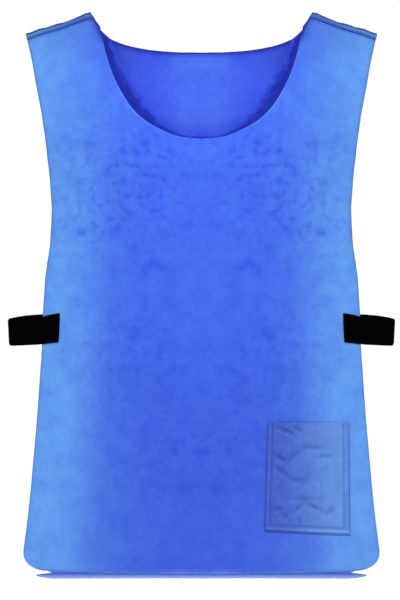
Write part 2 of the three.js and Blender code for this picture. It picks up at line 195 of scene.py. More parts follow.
# Creases of the pocket, with the columns of the folds. across and down: shares of the pocket.
# reach and breadth: shares of its height. height: share of its crease height.
POCKET_CREASES = {
    "across": (
        0.24, 0.37, 0.17, 0.34, 0.2, 0.38, 0.57, 0.72, 0.16,
        0.4, 0.57, 0.78, 0.41, 0.48, 0.49, 0.22, 0.72, 0.86,
    ),
    "down": (
        0.07, 0.05, 0.32, 0.3, 0.45, 0.53, 0.225, 0.3, 0.79,
        0.77, 0.76, 0.79, 0.91, 0.69, 0.5, 0.85, 0.12, 0.55,
    ),
    "reach": (
        0.09, 0.05, 0.07, 0.06, 0.08, 0.05, 0.1, 0.08, 0.06,
        0.06, 0.08, 0.05, 0.05, 0.12, 0.08, 0.06, 0.08, 0.12,
    ),
    "breadth": (
        0.02, 0.018, 0.024, 0.026, 0.026, 0.028, 0.024, 0.02, 0.02,
        0.022, 0.024, 0.026, 0.016, 0.024, 0.04, 0.022, 0.03, 0.05,
    ),
    "turn": (
        -27, -25, -27, 42, -36, -5, -3, 2, -5,
        52, -22, 45, 90, 3, 60, -40, -15, 80,
    ),
    "height": (
        -1, -0.9, -1, -0.7, -1, -0.7, -0.8, -0.7, -0.8,
        -0.7, -1, -0.7, -0.8, -0.6, -0.6, -0.8, 0.5, 0.6,
    ),
}

# Painted highlights on the front hem, where its rolled edge turns up to the light, with the columns of
# the folds. height: how bright.
HEM_GLINTS = {
    "across": (-0.16, 0.145),
    "down": (1.002, 1.002),
    "reach": (0.032, 0.032),
    "breadth": (0.005, 0.005),
    "turn": (0, 0),
    "height": (0.9, 0.9),
}

# Corners of the pocket, which is sewn on a little askew, as shares of its width and height.
POCKET_CORNERS = {
    "across": ((0, 1), (-0.036, 1.012)),
    "down": ((0, 0.01), (0.98, 1.032)),
}

# How much of the neck's turned edge shows. down: share of the front neck drop. shown: share of the
# turning's width.
TURNING = {
    "down": (0.2, 0.36, 0.5, 0.7, 0.86, 0.95, 1),
    "shown": (0.5, 0.62, 0.86, 0.95, 0.84, 0.42, 0.22),
}

# Crinkles laid over each other: share of the crinkle height, share of the crinkle size, and step of
# the seed. The least crinkled cloth has a share of them.
CRINKLE_LAYERS = ((1, 1, 0), (0.42, 0.42, 10), (0.2, 0.19, 20))
LEAST_CRINKLED = 0.4

# How far below the shoulder line its waves have faded to a third
WAVE_DEPTH = 12 * MM

# Shares of the half width between which the firmer step of the painted side light runs
FIRM_STEP = (0.54, 0.82)

# Painted shade on the panels. Where one fades beside a line, its breadth is the distance at which it
# has faded to a third. RIM: painted shade along the cut edges. NECK_LINE and NECK_HAZE: painted dark
# line and haze beside the front neckline, high up. NECK_SHADOW: painted shadow of the front neckline
# on the back's inside. BACK_NECK: painted dark line just inside the back neckline, with its reach from
# the centre line. SEAM_LINE: painted shadow in front of a shoulder seam.
FRONT_RIM_BREADTH = 1.4 * MM
BACK_RIM_BREADTH = 3 * MM
NECK_LINE_BREADTH = 2.4 * MM
NECK_HAZE_BREADTH = 8 * MM
NECK_HAZE = 0.45
NECK_SHADOW_BREADTH = 14.5 * MM
NECK_SHADOW = 0.85
BACK_NECK_REACH = 110 * MM
BACK_NECK = 0.35
SEAM_LINE_BREADTH = 1.8 * MM

# Heights between which the front neckline goes from lit to shaded, distances from the centre line
# between which its rolled edge goes from dull to lit, and how far it takes the lit colour
NECK_SHADED = (-48 * MM, -24 * MM)
NECK_LIT = (40 * MM, 85 * MM)
NECK_RIM = 0.7

# Between which distances from the centre line the inside takes its painted shade and the rolled hem
# its painted side light, and between which shares of the length the outside takes its lower colour,
# painted shade towards the hem
INSIDE_WASH = (10 * MM, 60 * MM)
HEM_WASH = (40 * MM, 150 * MM)
LOW_WASH = (0.4, 0.85)

# Shares of the crease colour, painted shade, in a pressed crease, of the painted shade of specks in
# the least and the most crinkled cloth, and of both on the back, which is plainer
CREASE_TINT = 0.45
LEAST_SPECKS = 0.08
MOST_SPECKS = 0.72
BACK_PLAINNESS = 0.5

# Lights and floor, in metres. The places of the front, back and side lights are measured from the
# origin at the camera's height.
FRONT_LIGHT = (0, -4, -0.4)
FRONT_LIGHT_SIZE = 0.5
BACK_LIGHT = (0, 4, 0.5)
BACK_LIGHT_SIZE = 1.5
SIDE_LIGHT = (2.2, -0.9, 0.3)
SIDE_LIGHT_SIZE = 1.4
NECK_LIGHT_DISTANCE = 3.6
NECK_LIGHT_RAISE = 0.5
NECK_LIGHT_RADIUS = 0.03
HEM_LIGHT_BREADTH = 0.04
HEM_LIGHT_FORWARD = 0.095
FLOOR_HALF_SIDE = 6

# Fineness of the pieces, in cells
NECK_COLUMNS = 66
TURN_COLUMNS = 440
TURN_ROWS = 14
SHADOW_COLUMNS = 60
HEM_COLUMNS = 400
HEM_SIDES = 12
SHOULDER_COLUMNS = 28
CORNER_COLUMNS = 16
PANEL_ROWS = 214
ROLL_STRIPS = 5
SEAM_COLUMNS = 120
SEAM_ROWS = 32
STRAP_COLUMNS = 900
STRAP_ROWS = 14
POCKET_COLUMNS = 132
POCKET_ROWS = 172
STITCH_SIDES = 6

# Where a seam strip is stitched, as a share of the way to its front edge, and how deep a thread sinks
STITCH_LINE = 0.8
THREAD_SINK = 0.25 * MM

# Length of a stitch as a share of the pitch, and its height as a share of its breadth
STITCH_SHARE = 0.72
STITCH_FLATNESS = 0.7


def linear(colour):
    """An sRGB hex colour as linear red, green and blue."""
    values = np.array([int(colour[i : i + 2], 16) for i in (1, 3, 5)]) / 255
    low = values / 12.92
    high = ((values + 0.055) / 1.055) ** 2.4
    return tuple(float(v) for v in np.where(values <= 0.04045, low, high))


def length(name, millimetres, description):
    """A length that the user can change, given in millimetres and kept in metres."""
    return FloatProperty(
        name=name, description=description, default=millimetres * MM, unit="LENGTH", precision=5
    )


def colour(name, hexadecimal, description):
    """A colour that the user can change."""
    return FloatVectorProperty(
        name=name,
        description=description,
        default=linear(hexadecimal),
        subtype="COLOR",
        min=0,
        max=1,
    )


def power(name, watts, description):
    """The power of a lamp, which the user can change."""
    return FloatProperty(name=name, description=description, default=watts, unit="POWER")


class VestCut(bpy.types.PropertyGroup):
    """Sizes of the vest's pieces, the same as in its frame."""

    neck_half_width: length("Neck half width", 128.8, "From the centre line to a seam's neck end")
    front_neck_drop: length("Front neck drop", 152, "From the seam's neck end to the front neckline")
    back_neck_drop: length("Back neck drop", 40, "From the seam's neck end to the back neckline")
    shoulder_half_width: length("Shoulder half width", FRONT_HIGH.x / MM, "To a seam's outer end")
    shoulder_fall: length("Shoulder fall", 25.1, "How far a seam falls to its outer end")
    shoulder_curve_drop: length("Shoulder curve", 90, "Depth over which the panels round over")
    chest_half_width: length("Chest half width", 172.3, "Half the narrowest width")
    hem_half_width: length("Hem half width", 204.7, "Half the width just above the hem")
    front_length: length("Front length", -FRONT_LOW.z / MM, "From the neck ends to the front hem")
    back_length: length("Back length", -BACK_LOW.z / MM, "From the neck ends to the back hem")
    chest_depth: length("Chest depth", 120, "From the seams' plane to the front")
    back_depth: length("Back depth", 105, "From the seams' plane to the back")
    corner_width: length("Corner width", 27, "Width of the front hem's rounded corner")
    corner_height: length("Corner height", 18.5, "Height of the front hem's rounded corner")
    back_corner_width: length("Back corner width", 60, "Width of the back hem's rounded corner")
    back_corner_height: length("Back corner height", 34, "Height of the back hem's rounded corner")
    hem_half_reach: length("Hem roll reach", 197, "From the centre line to a tip of the rolled hem")
    hem_roll: length("Hem roll height", 7, "Height of the back's rolled hem")
    hem_lift: length("Hem lift", 4.4, "How far the back's hem is drawn up by its sewing")
    hem_sag: length("Hem sag", 1.9, "How much lower the rolled hem hangs in its middle")
    cloth: length("Cloth thickness", 2.4, "Thickness of a panel")
    turn_width: length("Neck turning", 15, "How far the neck's turned edge shows at the most")
    turn_cloth: length("Neck turning thickness", 0.9, "Thickness of the turned edge")
    fold_height: length("Fold height", 3, "Height of the soft folds")
    seam_front_drop: length("Seam front drop", 7.4, "Depth of the seam strip in front")
    seam_back_drop: length("Seam back drop", 2.4, "Depth of the seam strip behind")
    seam_thickness: length("Seam thickness", 1.4, "Thickness of the seam strip")
    strap_width: length("Strap width", 33, "Width of the elastic")
    strap_thickness: length("Strap thickness", 1.6, "Thickness of the elastic")
    strap_drop: length("Strap drop", 367, "From the neck ends to the middle of a strap")
    strap_lap: length("Strap lap", 20.2, "How far a strap is sewn over a panel")
    strap_reach: length("Strap reach", 40.9, "How far a strap stands out sideways")
    strap_droop: length("Strap droop", 4.6, "How far a strap sinks at its furthest point")
    pocket_inset: length("Pocket inset", 74.7, "From the centre line to the pocket")
    pocket_width: length("Pocket width", 93.3, "Width of the pocket")
    pocket_drop: length("Pocket drop", 475, "From the neck ends to the pocket's mouth")
    pocket_height: length("Pocket height", 124, "Height of the pocket")
    pocket_thickness: length("Pocket thickness", 1, "Thickness of the pocket's cloth")
    pocket_slack: length("Pocket slack", 1.8, "How far the pocket stands off in its middle")
    crease_height: length("Pocket crease height", 1.3, "Height of the pocket's creases")
    panel_gap: length("Panel gap", 0.4, "Between the two panels along a seam")
    lay_gap: length("Lay gap", 0.5, "Between a panel and what is sewn on it")


class VestSurface(bpy.types.PropertyGroup):
    """Relief that is finer than the frame."""

    seed: IntProperty(name="Seed", description="Start of the crinkles' random numbers", default=11)
    crinkle_height: length("Crinkle height", 2.4, "Height of the largest crinkles")
    crinkle_size: length("Crinkle size", 34, "Breadth of the largest crinkles")
    press_height: length("Pressed crease height", 1.3, "Depth of the sharp creases")
    wave_height: length("Shoulder wave height", 1.3, "Height of the shoulder line's waves")
    rib_pitch: length("Rib pitch", 2.2, "Spacing of the elastic's ribs")
    rib_height: length("Rib height", 0.35, "Height of the elastic's ribs")
    border: length("Pocket border", 6.4, "From the pocket's edge to its stitching")
    groove: length("Stitch groove", 0.5, "Depth to which the stitching pulls the cloth in")
    stitch_pitch: length("Stitch pitch", 3, "Length of one stitch and its gap")
    thread: length("Thread", 0.7, "Thickness of the sewing thread")


class VestColours(bpy.types.PropertyGroup):
    """Colours of the vest's materials."""

    middle: colour("Cloth, middle", "#3e67e0", "Royal blue down the middle of the outside")
    # Painted light: the sides are painted a lighter azure than the middle, as the light falls on them
    side: colour("Cloth, sides", "#629ee8", "Azure of the outside's sides")
    # Painted shade: the middle of the outside is painted darker towards the hem
    low: colour("Cloth, low", "#3a5ad2", "The middle of the outside towards the hem")
    inside: colour("Cloth, inside", "#466ada", "Middle of the inside")
    # Painted shade: the inside is painted darker towards its sides
    inside_side: colour("Cloth, inside, sides", "#3c59d6", "Sides of the inside")
    # Painted shade: multiplied in at creases, crinkle hollows, the seam lines and the neckline's shadow,
    # and in blotches at random
    crease: colour("Cloth, creased", "#b4bcf4", "What a crease leaves of the cloth's colour")
    # Painted shade along the cut and rolled edges
    rim: colour("Cloth, rim", "#3f6aa8", "Greyer blue of the cut and rolled edges")
    # Painted highlight on the front neckline's rolled edge
    neck_rim: colour("Neck rim", "#6c98f4", "Lighter rolled edge of the front neckline")
    # Painted light: the rolled hem's underside is painted pale, as lit from below
    hem: colour("Hem roll", "#647eba", "Pale underside of the rolled hem")
    # Painted highlights on the front hem
    glint: colour("Hem glint", "#7c94f0", "Bright places of the front hem")
    # Painted light: the upper side of the rolled hem is painted lighter towards its ends
    hem_middle: colour("Hem roll, middle", "#5474da", "Upper side of the rolled hem, in its middle")
    hem_side: colour("Hem roll, ends", "#6494d6", "Upper side of the rolled hem, towards its ends")
    # Painted shade: the neck turning's fold and the panels' dark neckline lines; its free edge less deep
    fold: colour("Neck fold", "#18279e", "Deep blue in the fold of the neck's turned edge")
    turned: colour("Neck turning", "#2c44c8", "Free edge of the neck's turned edge")
    # Painted light: the seam is painted lighter towards its outer end
    seam: colour("Seam, neck end", "#426cce", "Doubled cloth at the neck end of a shoulder")
    seam_side: colour("Seam, outer end", "#5488d6", "Doubled cloth at the outer end of a shoulder")
    thread: colour("Thread", "#4c74d4", "Sewing thread")
    # Painted shade along the seam's ridge and edges
    ridge: colour("Seam ridge", "#234088", "Darker edge along the top of a shoulder seam")
    # Painted light: the pocket and its border are painted lighter towards their outer side
    pocket: colour("Pocket, inner side", "#3a59c0", "Pocket nylon towards the centre line")
    pocket_side: colour("Pocket, outer side", "#5f8cd8", "Pocket nylon towards the side edge")
    # Painted shade in the pocket's creases and along its seams
    pocket_crease: colour("Pocket, creased", "#9ca6cc", "What a crease leaves of the pocket's colour")
    # Painted highlight above the pocket's creases and along its foot
    pocket_shine: colour("Pocket, raised", "#c4c8e4", "Divides the pocket's colour where it is raised")
    border: colour("Pocket border, inner side", "#3455c0", "Sewn border towards the centre line")
    border_side: colour("Pocket border, outer side", "#5084d8", "Sewn border towards the side edge")
    elastic: colour("Elastic", "#010102", "Black woven elastic")


class VestStage(bpy.types.PropertyGroup):
    """Camera, lights and floor."""

    camera_distance: length("Camera distance", 4120, "From the plane of the seams")
    camera_height: length("Camera height", -335.3, "Height of the camera")
    camera_side: length("Camera offset", -1.7, "How far the camera stands to the left")
    frame_height: length("Frame height", 679.8, "Height that the picture takes in at the chest")
    floor_drop: length("Floor drop", 1400, "From the neck ends down to the floor")
    key_distance: length("Key distance", 3000, "How far in front of the vest the key light stands")
    key_raise: length("Key raise", 2700, "How far the key light stands above the camera")
    key_size: length("Key size", 800, "Side of the key light")
    neck_aim: length("Neck light aim", -66, "Height that the neck light points at")
    neck_radius: length("Neck light radius", 150, "Radius of the neck light's pool at the vest")
    hem_drop: length("Hem light drop", 430, "How far the hem light stands below the back's hem")
    key_power: power("Key power", 130, "Power of the key light")
    front_power: power("Front power", 24, "Power of the light in front")
    neck_power: power("Neck power", 100, "Power of the neck light")
    hem_power: power("Hem power", 3.6, "Power of the light under the vest")
    back_power: power("Back power", 90, "Power of the light behind")
    side_power: power("Side power", 6, "Power of each side light")
    fill: FloatProperty(name="Fill", description="Strength of the light from all round", default=0.12)


def read_table(table, key, place, column):
    """One column of a table at given places, on a cubic through its rows, flat past its ends.
    The slope at a row is that between its neighbours."""
    keys = np.array(table[key], float)
    values = np.array(table[column], float)
    slopes = np.empty_like(values)
    slopes[1:-1] = (values[2:] - values[:-2]) / (keys[2:] - keys[:-2])
    slopes[0] = (values[1] - values[0]) / (keys[1] - keys[0])
    slopes[-1] = (values[-1] - values[-2]) / (keys[-1] - keys[-2])
    i = np.clip(np.searchsorted(keys, place, side="right") - 1, 0, len(keys) - 2)
    step = keys[i + 1] - keys[i]
    t = np.clip((place - keys[i]) / step, 0, 1)
    ease = t * t * (3 - 2 * t)
    blend = values[i] * (1 - ease) + values[i + 1] * ease
    return blend + step * t * (1 - t) * (slopes[i] * (1 - t) - slopes[i + 1] * t)


def smooth(value, start, end):
    """0 before start, 1 after end, and t * t * (3 - 2 t) between them."""
    t = np.clip((value - start) / (end - start), 0, 1)
    return t * t * (3 - 2 * t)


def fading(distance, breadth):
    """A soft line: 1 on it, and exp(-(distance / breadth)^2) beside it."""
    return np.exp(-((distance / breadth) ** 2))


def swell(ridges, x, z, across, size, height):
    """Sum of rounded ridges, each height * exp(-along^2 - off^2) about its own turned axes."""
    total = np.zeros(np.broadcast(x, z).shape)
    for a, d, reach, breadth, turn, rise in zip(*ridges.values()):
        dx = x - a * across
        dz = z + d * size
        sine, cosine = math.sin(math.radians(turn)), math.cos(math.radians(turn))
        along = (dx * cosine + dz * sine) / (reach * size)
        off = (dz * cosine - dx * sine) / (breadth * size)
        total += rise * height * np.exp(-along * along - off * off)
    return total


def gradient_noise(u, v, seed):
    """Smooth random field, about -0.7 to 0.7: slopes at the whole places, eased into each other."""
    count = 256
    turns = np.random.default_rng(seed).uniform(0, 2 * np.pi, (count, count))
    i, j = np.floor(u).astype(int), np.floor(v).astype(int)
    du, dv = u - i, v - j

    def slope(a, b):
        turn = turns[(i + a) % count, (j + b) % count]
        return np.cos(turn) * (du - a) + np.sin(turn) * (dv - b)

    eu = du**3 * (du * (6 * du - 15) + 10)
    ev = dv**3 * (dv * (6 * dv - 15) + 10)
    near = slope(0, 0) * (1 - eu) + slope(1, 0) * eu
    far = slope(0, 1) * (1 - eu) + slope(1, 1) * eu
    return near * (1 - ev) + far * ev


def crumple(x, z, size, seed):
    """Crumpled cloth: smooth noise folded at zero, which leaves creases between low facets. The
    places that it is read at are pushed about by a slower noise."""
    slower = 1.9
    u, v = x / size, z / size
    push = gradient_noise(u / slower, v / slower, seed + 1)
    pull = gradient_noise(u / slower, v / slower, seed + 2)
    folded = np.abs(gradient_noise(u + push, v + pull, seed))
    other = np.abs(gradient_noise(u - pull, v + push, seed + 3))
    return folded - other


def unit(vectors):
    """Each vector over its length."""
    return vectors / np.linalg.norm(vectors, axis=-1, keepdims=True)


class Panel:
    """Front or back panel: its cut, its form as worn, and its crinkles."""

    def __init__(self, cut, surface, front):
        self.cut = cut
        self.surface = surface
        self.front = front
        self.side = -1 if front else 1
        self.length = cut.front_length if front else cut.back_length - cut.hem_lift
        self.full_depth = cut.chest_depth if front else cut.back_depth
        self.neck_drop = cut.front_neck_drop if front else cut.back_neck_drop
        self.neckline = FRONT_NECKLINE if front else BACK_NECKLINE
        self.sections = FRONT_SECTIONS if front else BACK_SECTIONS
        self.folds = FRONT_FOLDS if front else BACK_FOLDS
        self.seed = surface.seed + (0 if front else 50)
        self.corner_width = cut.corner_width if front else cut.back_corner_width
        self.corner_height = cut.corner_height if front else cut.back_corner_height

    def shoulder(self, x):
        """Height of the seam, on a straight slope through the neck ends."""
        cut = self.cut
        slope = cut.shoulder_fall / (cut.shoulder_half_width - cut.neck_half_width)
        return slope * (cut.neck_half_width - np.abs(x))

    def edge(self, z):
        """Half width at a height: the chest's, with shares of the ways to the shoulder's and hem's."""
        cut = self.cut
        down = -z / self.length
        out = cut.shoulder_half_width - cut.chest_half_width
        flare = cut.hem_half_width - cut.chest_half_width
        out = out * read_table(SIDE_EDGE, "down", down, "shoulder")
        flare = flare * read_table(SIDE_EDGE, "down", down, "hem")
        return cut.chest_half_width + out + flare

    def neck(self, z):
        """Half width of the neck opening at a height."""
        return self.cut.neck_half_width * read_table(self.neckline, "down", -z / self.neck_drop, "across")

    def depth(self, x, z):
        """Distance of the outer face from the seams' plane: a parabola across, from crown to edge,
        that falls to nothing at the shoulder line in a parabola too."""
        down = -z / self.length
        crown = read_table(self.sections, "down", down, "crown") * self.full_depth
        edge = read_table(self.sections, "down", down, "edge") * self.full_depth
        across = x / self.edge(z)
        opened = np.clip((self.shoulder(x) - z) / self.cut.shoulder_curve_drop, 0, 1)
        fall = 1 - (1 - opened) ** 2
        folds = swell(self.folds, x, z, self.cut.chest_half_width, self.length, self.cut.fold_height)
        return self.side * (self.cut.panel_gap / 2 + fall * (crown - (crown - edge) * across**2 + folds))

    def normal(self, x, z):
        """Outward direction, from the slopes of the depth."""
        span = 0.5 * MM
        across = self.depth(x + span / 2, z) - self.depth(x - span / 2, z)
        up = self.depth(x, z) - self.depth(x, z - span)
        return unit(np.stack([-across, np.full_like(across, span), -up], axis=-1)) * self.side

    def relief(self, x, z):
        """Crinkles: three sizes of crumpled cloth, the same on both sides of the centre line, strong
        where the table says, and the sharp pressed creases."""
        surface = self.surface
        size = surface.crinkle_size
        mirrored = np.sqrt(x * x + (size / 5) ** 2)
        amount = LEAST_CRINKLED + swell(CRINKLED, mirrored, z, self.cut.chest_half_width, self.length, 1)
        crinkles = sum(
            height * crumple(mirrored, z, size * share, self.seed + step)
            for height, share, step in CRINKLE_LAYERS
        )
        pressed = swell(CREASES, mirrored, z, self.cut.chest_half_width, self.length, surface.press_height)
        return surface.crinkle_height * amount * crinkles + pressed

    def off(self, x, z, height):
        """A point at a height off the outer face. The shoulder line's waves move it up or down."""
        point = np.stack(np.broadcast_arrays(x, self.depth(x, z), z), axis=-1)
        point = point + self.normal(x, z) * (height + self.relief(x, z))[..., None]
        return self.wave(point, x, z)

    def wave(self, point, x, z):
        """Lifts a point by the wave of the shoulder line above it, less the further it lies below."""
        cut = self.cut
        along = (np.abs(x) - cut.neck_half_width) / (cut.shoulder_half_width - cut.neck_half_width)
        rise = read_table(SHOULDER_WAVES, "along", along, "rise") * self.surface.wave_height
        fade = np.exp(-np.maximum(0, self.shoulder(x) - z) / WAVE_DEPTH) * smooth(along, -0.25, 0)
        lifted = point.copy()
        lifted[..., 2] += rise * fade
        return lifted

    def wash(self, x, z):
        """How far the painted side light has taken the colour from the middle's to the sides': an eased
        step over the half width, whose start and end change with the height, mixed low down with a firmer
        step."""
        share = np.abs(x) / self.edge(z)
        down = -z / self.length
        start, end, firm = (read_table(WASH, "down", down, column) for column in ("start", "end", "firm"))
        broad = smooth(share, start, end)
        return (1 - firm) * broad + firm * smooth(share, *FIRM_STEP)


def path_lengths(path):
    """How far along a path of points each of them lies."""
    return np.concatenate([[0], np.cumsum(np.linalg.norm(np.diff(path, axis=0), axis=1))])


def spaced(points, count):
    """count + 1 places at even steps along a Catmull-Rom curve through the points."""
    padded = np.concatenate([points[:1], points, points[-1:]])
    steps = 40
    t = np.tile(np.arange(steps) / steps, len(points) - 1)[:, None]
    i = np.repeat(np.arange(len(points) - 1), steps)
    a, b, c, d = (padded[i + k] for k in range(4))
    curve = b + 0.5 * t * (c - a + t * (2 * a - 5 * b + 4 * c - d + t * (3 * (b - c) + d - a)))
    curve = np.concatenate([curve, points[-1:]])
    way = path_lengths(curve)
    even = np.linspace(0, way[-1], count + 1)
    return np.stack([np.interp(even, way, curve[:, k]) for k in range(2)], axis=-1)


def neck_line(panel, roll, count):
    """Places (x, z) along half a neckline, from the seam to the centre line."""
    cut = panel.cut
    across = np.array(panel.neckline["across"]) * (cut.neck_half_width + roll)
    down = -np.array(panel.neckline["down"]) * (panel.neck_drop + roll)
    return spaced(np.stack([across, down], axis=-1), count)


def panel_outline(panel, roll):
    """Top and bottom edges of half a panel from the centre line, as (x, z), with the width of the
    rolled rim taken off them. The top is the neckline and the seam, the bottom the hem and an
    elliptic corner."""
    cut = panel.cut
    neck = neck_line(panel, roll, NECK_COLUMNS)[::-1]
    x = np.linspace(cut.neck_half_width + roll, cut.shoulder_half_width, SHOULDER_COLUMNS + 1)[1:]
    top = np.concatenate([neck, np.stack([x, panel.shoulder(x)], axis=-1)])
    level = NECK_COLUMNS + SHOULDER_COLUMNS - CORNER_COLUMNS
    corner_x = panel.edge(panel.corner_height - panel.length) - panel.corner_width
    x = np.linspace(0, corner_x, level + 1)
    hem = np.stack([x, np.full_like(x, -panel.length + roll)], axis=-1)
    turn = np.linspace(0, np.pi / 2, CORNER_COLUMNS + 1)[1:]
    x = corner_x + panel.corner_width * np.sin(turn)
    z = -panel.length + roll + (panel.corner_height - roll) * (1 - np.cos(turn))
    return top, np.concatenate([hem, np.stack([x, z], axis=-1)])


def panel_grid(panel, roll):
    """Places (x, z) of a whole panel: each column runs from the top edge to the bottom edge, and its
    share of the half width goes evenly from the one's to the other's."""
    top, bottom = panel_outline(panel, roll)
    way = np.linspace(0, 1, PANEL_ROWS + 1)[:, None]
    z = top[:, 1] * (1 - way) + bottom[:, 1] * way
    start = top[:, 0] / panel.edge(top[:, 1])
    end = bottom[:, 0] / panel.edge(bottom[:, 1])
    x = (start * (1 - way) + end * way) * (panel.edge(z) - roll)
    return (
        np.concatenate([-x[:, :0:-1], x], axis=1),
        np.concatenate([z[:, :0:-1], z], axis=1),
    )


def shell(outer, inner, roll, strips=ROLL_STRIPS):
    """Closed shell between two grids of points. Its rim is a half round of strips: the middle of the
    wall, plus cos(t) of half the wall, plus sin(t) of the roll outwards, t from 0 to half a turn.
    Gives the points, the faces, each point's place in the grid and its share of the way through."""
    rows, columns = outer.shape[:2]
    skin = rows * columns
    index = np.arange(skin).reshape(rows, columns)
    ring = np.concatenate([index[0, :-1], index[:-1, -1], index[-1, :0:-1], index[:0:-1, 0]])
    row, column = np.divmod(ring, columns)
    inside = np.clip(row, 1, rows - 2) * columns + np.clip(column, 1, columns - 2)
    flat_outer, flat_inner = outer.reshape(-1, 3), inner.reshape(-1, 3)
    half = (flat_outer[ring] - flat_inner[ring]) / 2
    middle = (flat_outer[ring] + flat_inner[ring]) / 2
    away = middle - (flat_outer[inside] + flat_inner[inside]) / 2
    across = unit(half)
    away = unit(away - np.sum(away * across, axis=-1, keepdims=True) * across)
    turns = np.linspace(0, np.pi, strips + 1)[1:-1, None, None]
    rim = middle + np.cos(turns) * half + np.sin(turns) * away * roll
    points = np.concatenate([flat_outer, flat_inner, rim.reshape(-1, 3)])
    a, b, c, d = index[:-1, :-1], index[1:, :-1], index[1:, 1:], index[:-1, 1:]
    front = np.stack([a, b, c, d], axis=-1).reshape(-1, 4)
    back = np.stack([a, d, c, b], axis=-1).reshape(-1, 4) + skin
    extra = 2 * skin + np.arange((strips - 1) * len(ring)).reshape(strips - 1, len(ring))
    loops = np.concatenate([ring[None], extra, ring[None] + skin])
    following = np.roll(loops, -1, axis=1)
    sides = np.stack([loops[:-1], following[:-1], following[1:], loops[1:]], axis=-1).reshape(-1, 4)
    home = np.concatenate([np.arange(skin), np.arange(skin), np.tile(ring, strips - 1)])
    through = np.repeat(np.linspace(0, 1, strips + 1)[1:-1], len(ring))
    through = np.concatenate([np.zeros(skin), np.ones(skin), through])
    return points, np.concatenate([front, back, sides]), home, through


def make_piece(context, name, points, faces, maker, slot, replaces=(), **attributes):
    """A mesh object at the origin with smooth, outward faces, riding on the vest's one body. maker
    makes its material. Each attribute holds a value a point."""
    a, b, c, d = (points[faces[:, k]] for k in range(4))
    volume = np.sum(a * (np.cross(b, c) + np.cross(c, d)))
    if volume < 0:
        faces = faces[:, ::-1]
    mesh = bpy.data.meshes.new(name)
    cells = [list(dict.fromkeys(face)) for face in faces.tolist()]
    mesh.from_pydata(points.tolist(), [], cells)
    mesh.shade_smooth()
    for label, values in attributes.items():
        attribute = mesh.attributes.new(label, "FLOAT", "POINT")
        attribute.data.foreach_set("value", values.astype(np.float32))
    mesh.materials.append(material_of(context, maker))
    mesh.validate()
    piece = bpy.data.objects.new(name, mesh)
    context.collection.objects.link(piece)
    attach(piece, "root")
    if replaces:
        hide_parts(*replaces)
    return piece


def add_node(tree, kind, settings=None, inputs=None):
    """Adds a node. Its inputs are given by name or number, as values or as the outputs to link."""
    made = tree.nodes.new(kind)
    for name, value in (settings or {}).items():
        setattr(made, name, value)
    for name, value in (inputs or {}).items():
        if isinstance(value, bpy.types.NodeSocket):
            tree.links.new(value, made.inputs[name])
        else:
            made.inputs[name].default_value = value
    return made


def new_material(name):
    """An empty material and its node tree."""
    material = bpy.data.materials.new(name)
    material.use_nodes = True
    material.node_tree.nodes.clear()
    return material, material.node_tree


def finish_material(tree, surface):
    """Joins a shader to the material's output."""
    add_node(tree, "ShaderNodeOutputMaterial", inputs={"Surface": surface.outputs[0]})


def opaque(rgb):
    """A colour for a socket, with nothing let through."""
    return (*rgb, 1)


